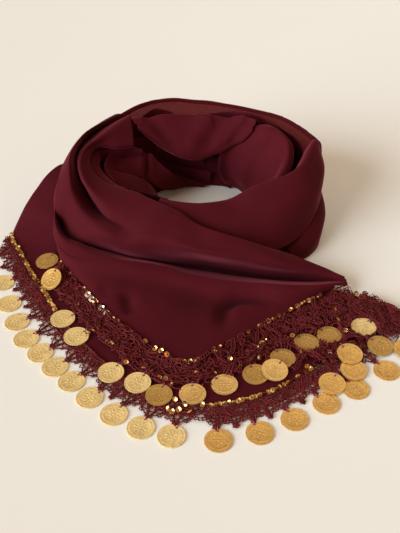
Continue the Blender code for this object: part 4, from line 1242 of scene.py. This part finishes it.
def threads_piece(name, strands, material):
    """Strands of points and radii as one mesh of fine tubes."""
    curve = bpy.data.curves.new(name, "CURVE")
    curve.dimensions = "3D"
    curve.bevel_depth = MM
    curve.bevel_resolution = 0
    curve.use_fill_caps = True
    for points, radii in strands:
        spline = curve.splines.new("POLY")
        spline.points.add(len(points) - 1)
        places = np.column_stack(((points + SHIFT) * MM, np.ones(len(points))))
        spline.points.foreach_set("co", places.ravel())
        spline.points.foreach_set("radius", radii)
        spline.use_smooth = True
    curve.materials.append(material)
    lace = bpy.data.objects.new(name, curve)
    bpy.context.collection.objects.link(lace)
    only(lace)
    bpy.ops.object.convert(target="MESH")
    return bpy.context.object


# ---------------------------------------------------------------- sequins and coins
def only(piece):
    """Select and activate one object alone."""
    for other in list(bpy.context.selected_objects):
        other.select_set(False)
    piece.select_set(True)
    bpy.context.view_layer.objects.active = piece


def choose_faces(mesh, wanted):
    """Select the faces that a test on centre and normal picks, in edit mode's terms."""
    bpy.ops.object.mode_set(mode="OBJECT")
    for face in mesh.polygons:
        face.select = wanted(face.center, face.normal)
    bpy.ops.object.mode_set(mode="EDIT")


def cup_sequin():
    """One cup sequin, 2 units across, round the origin: its vertices and faces."""
    bpy.ops.mesh.primitive_circle_add(vertices=10, radius=1.0, fill_type="NGON")
    cup = bpy.context.object
    bpy.ops.object.mode_set(mode="EDIT")
    bpy.ops.mesh.select_mode(type="FACE")
    bpy.ops.mesh.select_all(action="SELECT")
    bpy.ops.mesh.inset(thickness=0.36, depth=-0.14)
    bpy.ops.mesh.inset(thickness=0.36, depth=-0.05)
    bpy.ops.mesh.delete(type="FACE")
    bpy.ops.object.mode_set(mode="OBJECT")
    corners = np.array([v.co for v in cup.data.vertices])
    faces = [tuple(face.vertices) for face in cup.data.polygons]
    bpy.data.objects.remove(cup)
    return corners, faces


def sequins_piece(name, cup, places, material):
    """Sequins joined as one mesh. A place is a point, the way it looks and its radius."""
    corners, faces = cup
    every_corner, every_face = [], []
    for point, looks, radius in places:
        turn = np.array(Vector(looks).to_track_quat("Z", "Y").to_matrix())
        base = len(every_corner) * len(corners)
        every_corner.append(corners * radius @ turn.T + point)
        every_face += [tuple(base + k for k in face) for face in faces]
    return piece_from(name, np.concatenate(every_corner), every_face, material)


def raised(shape, place, size):
    """Start one raised detail on a coin's face: a squashed ball at its size and place."""
    bpy.ops.mesh.primitive_ico_sphere_add(subdivisions=shape, radius=MM, location=Vector(place) * MM)
    detail = bpy.context.object
    detail.scale = size
    bpy.ops.object.transform_apply(location=False, rotation=False, scale=True)
    return detail


def on_ring(radius, turn, height):
    return radius * math.cos(turn), radius * math.sin(turn), height


def model_coin(look, brass):
    """The pattern coin: a struck disc with a rim, a bead ring, a plain eight-petal rosette and a hole."""
    half = look.coin_thickness / 2 / MM
    bpy.ops.mesh.primitive_cylinder_add(vertices=48, radius=COIN_RADIUS * MM, depth=look.coin_thickness)
    coin = bpy.context.object
    bpy.ops.object.mode_set(mode="EDIT")
    bpy.ops.mesh.select_mode(type="FACE")
    choose_faces(coin.data, lambda centre, normal: abs(normal.z) > 0.9)
    for width, rise in COIN_STEPS:
        bpy.ops.mesh.inset(thickness=width * MM, depth=rise * MM, use_individual=True)
    bpy.ops.object.mode_set(mode="OBJECT")
    details = []
    for side in (-1, 1):
        ground = side * (half - COIN_GROUND)
        for k in range(BEADS):
            turn = math.tau * (k + 0.5) / BEADS
            if abs(turn - math.tau / 4) > BEADLESS:
                details.append(raised(1, on_ring(BEAD_RING, turn, ground), BEAD_SIZE))
        for k in range(PETALS):
            turn = math.tau * k / PETALS
            petal = raised(2, on_ring(PETAL_RING, turn, ground), PETAL_SIZE)
            petal.rotation_euler.z = turn
            details.append(petal)
            turn += math.pi / PETALS
            details.append(raised(1, on_ring(DOT_RING, turn, ground), DOT_SIZE))
        details.append(raised(2, (0, 0, ground), BOSS_SIZE))
    bpy.ops.mesh.primitive_cylinder_add(vertices=16, radius=look.hole_radius, depth=4 * MM,
                                        location=(0, HOLE_PLACE * MM, 0))
    drill = bpy.context.object
    only(coin)
    cut = coin.modifiers.new("Hole", "BOOLEAN")
    cut.object = drill
    bpy.ops.object.modifier_apply(modifier=cut.name)
    bpy.data.objects.remove(drill)
    for detail in details:
        detail.select_set(True)
    bpy.ops.object.join()
    coin.data.materials.clear()
    coin.data.materials.append(brass)
    bpy.ops.object.shade_smooth_by_angle(angle=math.radians(38))
    return coin


def coin_axis(node):
    """The way a coin's upper face looks, from its solid."""
    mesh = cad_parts[node].data
    widest = max(mesh.polygons, key=lambda face: face.area * (face.normal.z > 0.3))
    return widest.normal.normalized()


def coin_copy(name, pattern, node, towards):
    """A coin on its solid's place, its hole turned towards a spot on the table."""
    axis = coin_axis(node)
    across = Vector((*towards, 0.0)).cross(axis).normalized()
    turn = Matrix((across, axis.cross(across), axis)).transposed().to_4x4()
    coin = bpy.data.objects.new(name, pattern.data.copy())
    bpy.context.collection.objects.link(coin)
    coin.data.transform(Matrix.Translation(centre_of(node)) @ turn)
    coin.data.name = name
    return coin


def hanging_loop(centre, axis, towards):
    """The loop of thread through a coin's hole, over its edge to the trim's point."""
    across = Vector((*towards, 0.0)).cross(axis).normalized()
    ahead = axis.cross(across)
    middle = np.array(centre) / MM - SHIFT + np.array(ahead) * (HOLE_PLACE + LOOP_BEYOND_HOLE)
    turns = np.linspace(0.15, math.tau - 0.15, LOOP_STEPS)
    points = np.array([middle + np.array(axis) * LOOP_HALF_HEIGHT * math.sin(turn)
                       - np.array(ahead) * LOOP_HALF_LENGTH * math.cos(turn) for turn in turns])
    points[:, 2] = np.maximum(points[:, 2], LOOP_THREAD)
    return points, np.full(LOOP_STEPS, LOOP_THREAD)


# ---------------------------------------------------------------- settings
class ScarfCloth(bpy.types.PropertyGroup):
    chiffon_colour: FloatVectorProperty(
        name="Chiffon", description="Colour of the lit cloth", subtype="COLOR", size=3,
        default=(0.068, 0.0052, 0.0088), min=0.0, max=1.0)
    cloth_thickness: FloatProperty(
        name="Thickness", description="Thickness of one layer of cloth", subtype="DISTANCE", unit="LENGTH",
        default=0.0006, min=0.0002, max=0.0012)
    weave_pitch: FloatProperty(
        name="Weave pitch", description="Distance between threads of the weave", subtype="DISTANCE",
        unit="LENGTH", default=0.0009, min=0.0003, max=0.003)
    sheen: FloatProperty(
        name="Sheen", description="Strength of the nap's sheen", subtype="FACTOR", default=0.30, min=0.0,
        max=1.0)
    sheerness: FloatProperty(
        name="Sheerness", description="How much shows through each wall of the single outer layer",
        subtype="FACTOR", default=0.46, min=0.0, max=0.9)
    seen_through: FloatVectorProperty(
        name="Seen through", description="Tint of what shows through the single outer layer",
        subtype="COLOR", size=3, default=(0.78, 0.36, 0.36), min=0.0, max=1.0)
    ripple: FloatProperty(
        name="Ripple", description="Height of the faint waves all over, in millimetres", default=0.9,
        min=0.0, max=3.0)


class ScarfTrim(bpy.types.PropertyGroup):
    thread_colour: FloatVectorProperty(
        name="Thread", description="Colour of the crochet thread", subtype="COLOR", size=3,
        default=(0.125, 0.0105, 0.0125), min=0.0, max=1.0)
    foil_colour: FloatVectorProperty(
        name="Sequins", description="Colour of the gold sequins", subtype="COLOR", size=3,
        default=(0.80, 0.50, 0.17), min=0.0, max=1.0)
    sequin_radius: FloatProperty(
        name="Sequin radius", description="Radius of a cup sequin, in millimetres", default=2.5, min=1.5,
        max=4.0)
    tangles: FloatProperty(
        name="Tangles", description="Loose loops for each millimetre of the crumpled trim", default=1.0,
        min=0.0, max=2.0)


class ScarfCoins(bpy.types.PropertyGroup):
    brass_colour: FloatVectorProperty(
        name="Brass", description="Colour of the coins", subtype="COLOR", size=3,
        default=(0.95, 0.60, 0.20), min=0.0, max=1.0)
    coin_thickness: FloatProperty(
        name="Thickness", description="Thickness of a coin", subtype="DISTANCE", unit="LENGTH",
        default=0.001, min=0.0005, max=0.002)
    hole_radius: FloatProperty(
        name="Hole radius", description="Radius of a coin's hole", subtype="DISTANCE", unit="LENGTH",
        default=0.0010, min=0.0005, max=0.002)


class ScarfStage(bpy.types.PropertyGroup):
    key_strength: FloatProperty(
        name="Key light", description="Strength of the soft light from the left", default=5.5, min=0.0,
        max=20.0)
    ceiling_power: FloatProperty(
        name="Ceiling light", description="Power of the broad light from above", unit="POWER", default=6.2,
        min=0.0, max=200.0)
    sky_strength: FloatProperty(
        name="Sky", description="Strength of the soft light from all round", default=0.45, min=0.0, max=5.0)
    camera_height: FloatProperty(
        name="Camera height", description="Height of the camera over the table", subtype="DISTANCE",
        unit="LENGTH", default=CAMERA_HEIGHT, min=0.1, max=2.0)
    camera_pitch: FloatProperty(
        name="Camera pitch", description="How far the camera looks down", subtype="ANGLE", unit="ROTATION",
        default=CAMERA_PITCH, min=0.1, max=1.5)


# ---------------------------------------------------------------- operators
class SCARF_OT_cloth(bpy.types.Operator):
    """Drape every stretch of the chiffon over its solid"""
    bl_idname = "scarf.cloth"
    bl_label = "Chiffon"

    def creased(self, points, stretch, look):
        """A stretch's sheet with its faint waves and its folds, kept off the table."""
        facing = stretch["facing"]
        points = rippled(points, facing, look.ripple * stretch.get("calm", 1.0), RIPPLE_SIZE,
                         stretch["seed"])
        points = folded(points, facing, stretch.get("folds", ()))
        points[..., 2] = np.maximum(points[..., 2], look.cloth_thickness / MM + 0.1)
        return points

    def execute(self, context):
        look = context.scene.scarf_cloth
        whole = chiffon("burgundy_chiffon", look)
        single = chiffon("sheer_chiffon", look, look.sheerness)
        for stretch in STRETCHES:
            name = stretch.get("node", stretch.get("name"))
            grid = stretch["grid"]
            polar = stretch.get("polar", True)
            if stretch.get("free"):
                points = loft(stretch["sections"](), *grid, polar)
            else:
                points = sheet_over(name, stretch["sections"](), *grid, stretch["facing"], polar)
            sheets[name] = self.creased(points, stretch, look)
        front = front_in_one(sheets["front_drape"], sheets["top_point"])
        sheets["front"] = dented(front, sheets["front_drape"].shape[1], HOLLOWS)
        for stretch in STRETCHES:
            name = stretch.get("node", stretch.get("name"))
            if name == "top_point":
                continue
            in_front = name == "front_drape"
            piece = cloth_piece(name + "_cloth", sheets["front" if in_front else name], stretch["facing"],
                                single if stretch.get("sheer") else whole, look.cloth_thickness / MM,
                                front_kept if in_front else None)
            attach(piece, "root")
            if "node" in stretch:
                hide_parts(*stretch.get("stands_for", (name,)))
        return {"FINISHED"}


class SCARF_OT_hidden_turns(bpy.types.Operator):
    """Lay the folded turns that fill the loop between the stretches that show"""
    bl_idname = "scarf.hidden_turns"
    bl_label = "Hidden turns"

    def execute(self, context):
        look = context.scene.scarf_cloth
        footprint = np.asarray(CORE_FOOTPRINT, float)
        footprint = np.vstack((footprint, footprint[0] + (360, 0, 0)))
        turn = np.linspace(footprint[0, 0], footprint[-1, 0], TURN_STEPS + 1)
        inner, outer = smooth(footprint[:, 0], footprint[:, 1:], turn).T
        tree = solid_tree("wrap_core")
        cover = grid_tree(sheets["front"])
        rows = []
        for angle, near, far in zip(turn, inner, outer):
            row = []
            for share in np.linspace(0.02, 0.98, RING_STEPS):
                distance = near + (far - near) * share
                x, y, _ = round_axis(np.array((angle, distance, 0.0)))
                height = min(height_under(tree, x, y, 1.0), HIDDEN_TOP)
                drift = 9 * noise.noise(Vector((angle / 40, share, 0.7)))
                for near_by in COVER_PROBES:
                    x_near, y_near, _ = round_axis(np.array((angle, distance + near_by, 0.0)))
                    over = cover.ray_cast(Vector((x_near, y_near, 0)), Vector((0, 0, 1)))
                    if over[0] is not None:
                        height = min(height, over[0].z - COVER_GAP)
                groove = 1 - abs(math.sin(math.pi * (distance + drift) / LAYER_PITCH)) ** 0.6
                row.append((x, y, max(HIDDEN_FOOT, height - 0.4 - groove * LAYER_DEPTH)))
            first, last = row[0], row[-1]
            row = [(first[0], first[1], HIDDEN_FOOT), (first[0], first[1], first[2] / 2)] + row
            row += [(last[0], last[1], last[2] / 2), (last[0], last[1], HIDDEN_FOOT)]
            rows.append(row)
        points = np.array(rows)
        piece = cloth_piece("hidden_turns_cloth", points, "up", bpy.data.materials["burgundy_chiffon"],
                            look.cloth_thickness / MM)
        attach(piece, "root")
        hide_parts("wrap_core")
        return {"FINISHED"}


class SCARF_OT_trim(bpy.types.Operator):
    """Crochet the five strips of trim along the hems"""
    bl_idname = "scarf.trim"
    bl_label = "Crochet trim"

    def execute(self, context):
        look = context.scene.scarf_trim
        thread = crochet_thread(look)
        lower, top = Hem(sheets["lower_point"][:, -1]), Hem(sheets["top_point"][:, -1])
        corner = Hem(CORNER_LINE)
        lower_start = lower.nearest(LOWER_TRIM_START)[0]
        lower_tip, top_tip = lower.nearest(LOWER_TIP)[0], top.nearest(TOP_TIP)[0]
        # Columns: node, hem, coins, height at rest, start and end along the hem, looseness, radius of the
        # thread, tiers of loops, depths of the crumpled part, how crowded and how high it lies.
        strips = (
            ("lower_trim_left", lower, LOWER_COINS_LEFT, LACE_THICKNESS, lower_start, lower_tip, 0.5,
             LOWER_THREAD, 1, LOWER_HEAP, 0.020, 1.0),
            ("lower_trim_right", lower, LOWER_COINS_RIGHT, LACE_THICKNESS, lower_tip,
             lower.places[-1] - 1, 0.5, LOWER_THREAD, 1, LOWER_HEAP, 0.020, 1.0),
            ("top_trim_left", top, TOP_COINS_LEFT, TOP_TRIM_REST, 1.0, top_tip, 0.9,
             TOP_THREAD, 2, TOP_HEAP, 0.050, 3.0),
            ("top_trim_right", top, TOP_COINS_RIGHT, TOP_TRIM_REST, top_tip, top.places[-1] - 1, 0.9,
             TOP_THREAD, 2, TOP_HEAP, 0.060, 4.5),
            ("corner_trim", corner, CORNER_COINS, None, 0.5, corner.places[-1] - 0.5, 1.1,
             TOP_THREAD, 3, CORNER_HEAP, 0.090, 4.0),
        )
        for seed, (node, hem, coins, rest, start, end, loose, gauge, tiers, depths, crowd, high) in enumerate(
                strips, start=11):
            work = Crochet(hem, rest, seed, loose, gauge)
            work.band(start, end, tiers)
            for place, tip, left, right in trim_points(hem, coins, start, end):
                work.point(place, tip, left, right, min(3.5 + TIER_DEPTH * tiers, 0.6 * tip))
            work.heap(start, end, depths, crowd * look.tangles, high)
            piece = work.piece(node + "_crochet", thread)
            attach(piece, "root")
            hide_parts(node)
        hems.update(lower=lower, top=top, corner=corner)
        return {"FINISHED"}


class SCARF_OT_sequins(bpy.types.Operator):
    """Sew the sequins along the hems and scatter them over the upper trim"""
    bl_idname = "scarf.sequins"
    bl_label = "Sequins"

    def execute(self, context):
        look = context.scene.scarf_trim
        bright = tuple(look.foil_colour)
        gold = sequin_foil("gold_sequins", bright)
        dull = sequin_foil("dull_sequins", (0.33, 0.12, 0.05))
        # painted highlight: near-white foil stands for sequins that catch the light
        painted_light_finish = sequin_foil("glint_painted_sequins", (0.96, 0.90, 0.80))
        cup = cup_sequin()
        chance = random.Random(5)

        def looking(tilt, ahead=0.0):
            turn = chance.uniform(0, math.tau)
            lean = math.radians(chance.uniform(tilt / 3, tilt))
            return (math.sin(lean) * math.cos(turn), math.sin(lean) * math.sin(turn) - ahead, math.cos(lean))

        def sewn(hem, place, off, tilt, ahead, size):
            point = hem.at(place, off + chance.uniform(-0.4, 0.4))
            point[2] += chance.uniform(1.5, 2.2)
            return point, looking(tilt, ahead), look.sequin_radius * size * chance.uniform(0.88, 1.0)

        def chain(hem, start, end, tilt, size):
            places = []
            while start < end:
                places.append(sewn(hem, start, 0.5, tilt, 0.0, size))
                start += SEQUIN_PITCH * size * chance.uniform(0.9, 1.15)
            return places

        lower, top, corner = hems["lower"], hems["top"], hems["corner"]
        start = lower.nearest(LOWER_TRIM_START)[0]
        rows = (
            ("lower_hem_sequins", gold,
             chain(lower, start, LOWER_RUN_ENDS, 26, 1.0)
             + chain(lower, LOWER_RUN_RESUMES, LOWER_RUN_STOPS, 40, 0.95)),
            ("dull_sequins", dull,
             chain(lower, LOWER_RUN_STOPS, lower.places[-1] - 2, 75, 0.75)
             + chain(top, 2.0, top.places[-1] - 2, 80, 0.72)
             + chain(corner, 1.0, corner.places[-1] - 1, 75, 0.75)),
            ("gold_sequins", gold,
             [sewn(top, place, 0.8, 35, 0.35, 1.0) for place in top.seen_at(TOP_GOLD_SEEN)]),
            ("glint_painted_sequins", painted_light_finish,
             [sewn(top, place, 1.8, 8, 0.55, 1.2) for place in top.seen_at(TOP_GLINT_SEEN)]),
            ("scattered_sequins", gold,
             [(seen(*spot, step=1.0), looking(58, 0.2), look.sequin_radius * chance.uniform(0.8, 1.0))
              for spot in SCATTERED_SEEN]),
        )
        for name, foil, places in rows:
            piece = sequins_piece(name, cup, places, foil)
            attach(piece, "root")
        return {"FINISHED"}


class SCARF_OT_coins(bpy.types.Operator):
    """Strike the pattern coin and hang a copy on each point of the trim"""
    bl_idname = "scarf.coins"
    bl_label = "Coins"

    def execute(self, context):
        look = context.scene.scarf_coins
        bright = tuple(look.brass_colour)
        pattern = model_coin(look, stamped_brass("bright_brass", bright, 0.30))
        # painted light: the coins towards the left get paler, less metallic brass so that they look more lit
        painted_light_finish = stamped_brass("lit_painted_brass", LIT_PAINTED_BRASS, 0.30, 0.22)
        warm = stamped_brass("warm_brass", WARM_BRASS, 0.32)
        dull = stamped_brass("dull_brass", DULL_BRASS, 0.42)
        chance = random.Random(9)
        loops = []
        rows = [("lower", coin) for coin in LOWER_COINS_LEFT + LOWER_COINS_RIGHT]
        rows += [("top", coin) for coin in TOP_COINS_LEFT + TOP_COINS_RIGHT]
        rows += [("corner", coin) for coin in CORNER_COINS]
        rows += [(None, coin[:2]) for coin in LOOSE_COINS]
        for number, (hem, coin) in enumerate(rows, start=1):
            if hem is None:
                turn = chance.uniform(0.2, 0.8) * math.pi
                towards = (math.cos(turn), math.sin(turn))
            else:
                foot = hems[hem].at(hems[hem].nearest(coin)[0], 0.0)[:2]
                turn = math.atan2(foot[1] - coin[1], foot[0] - coin[0]) + chance.uniform(-0.25, 0.25)
                towards = (math.cos(turn), math.sin(turn))
            node = f"coin_{number:02d}"
            piece = coin_copy("brass_" + node, pattern, node, towards)
            for coins, brass in ((LIT_PAINTED_COINS, painted_light_finish), (WARM_COINS, warm), (DULL_COINS, dull)):
                if number in coins:
                    piece.data.materials[0] = brass
            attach(piece, "root")
            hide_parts(node)
            loops.append(hanging_loop(centre_of(node), coin_axis(node), towards))
        bpy.data.objects.remove(pattern)
        ties = threads_piece("coin_loops", loops, bpy.data.materials["crochet_thread"])
        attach(ties, "root")
        return {"FINISHED"}


class SCARF_OT_stage(bpy.types.Operator):
    """Set the table top, the soft lights and the camera"""
    bl_idname = "scarf.stage"
    bl_label = "Stage"

    def execute(self, context):
        look = context.scene.scarf_stage
        scene = context.scene
        bpy.ops.mesh.primitive_plane_add(size=6.0, location=(0, 0, -0.0002))
        floor = context.object
        floor.name = "table_top"
        bpy.ops.object.transform_apply(location=True)
        floor.data.materials.append(table_top())

        world = bpy.data.worlds.new("soft_room")
        scene.world = world
        world.use_nodes = True
        background = world.node_tree.nodes["Background"]
        background.inputs["Color"].default_value = SKY_COLOUR
        background.inputs["Strength"].default_value = look.sky_strength

        focus = Vector(SHIFT * MM)
        bpy.ops.object.light_add(type="SUN", location=focus + KEY_FROM)
        light = context.object
        light.name = "window_light"
        light.data.angle = KEY_SPREAD
        light.data.energy = look.key_strength
        light.data.color = KEY_COLOUR
        light.rotation_euler = KEY_FROM.to_track_quat("Z", "Y").to_euler()
        bpy.ops.object.light_add(type="AREA", location=focus + CEILING_FROM)
        ceiling = context.object
        ceiling.name = "ceiling_light"
        ceiling.data.size = 1.6
        ceiling.data.energy = look.ceiling_power
        ceiling.data.color = CEILING_COLOUR
        ceiling.rotation_euler = CEILING_FROM.to_track_quat("Z", "Y").to_euler()

        back = look.camera_height / math.tan(look.camera_pitch)
        bpy.ops.object.camera_add(location=focus + Vector((0, -back, look.camera_height)),
                                  rotation=(math.pi / 2 - look.camera_pitch, 0, 0))
        camera = context.object
        camera.data.lens = 50.0
        camera.data.sensor_width = 36.0
        camera.data.clip_start = 0.01
        scene.camera = camera
        scene.view_settings.view_transform = "Standard"
        return {"FINISHED"}


class SCARF_PT_panel(bpy.types.Panel):
    """Lists the scarf's settings and the steps that build it"""
    bl_idname = "SCARF_PT_panel"
    bl_label = "Wound hip scarf"
    bl_space_type = "VIEW_3D"
    bl_region_type = "UI"
    bl_category = "Scarf"

    def draw(self, context):
        for group in (context.scene.scarf_cloth, context.scene.scarf_trim, context.scene.scarf_coins,
                      context.scene.scarf_stage):
            box = self.layout.box()
            for key in group.__annotations__:
                box.prop(group, key)
        for operator in OPERATORS:
            self.layout.operator(operator.bl_idname)


GROUPS = {"scarf_cloth": ScarfCloth, "scarf_trim": ScarfTrim, "scarf_coins": ScarfCoins,
          "scarf_stage": ScarfStage}
OPERATORS = (SCARF_OT_cloth, SCARF_OT_hidden_turns, SCARF_OT_trim, SCARF_OT_sequins, SCARF_OT_coins,
             SCARF_OT_stage)


def register():
    for made in (*GROUPS.values(), *OPERATORS, SCARF_PT_panel):
        bpy.utils.register_class(made)
    for key, group in GROUPS.items():
        setattr(bpy.types.Scene, key, PointerProperty(type=group))


def unregister():
    for key in GROUPS:
        delattr(bpy.types.Scene, key)
    for made in reversed((*GROUPS.values(), *OPERATORS, SCARF_PT_panel)):
        bpy.utils.unregister_class(made)


def main():
    for piece in list(bpy.context.selected_objects):
        piece.select_set(False)
    register()
    bpy.ops.scarf.cloth()
    bpy.ops.scarf.hidden_turns()
    bpy.ops.scarf.trim()
    bpy.ops.scarf.sequins()
    bpy.ops.scarf.coins()
    bpy.ops.scarf.stage()


if __name__ == "__main__":
    main()
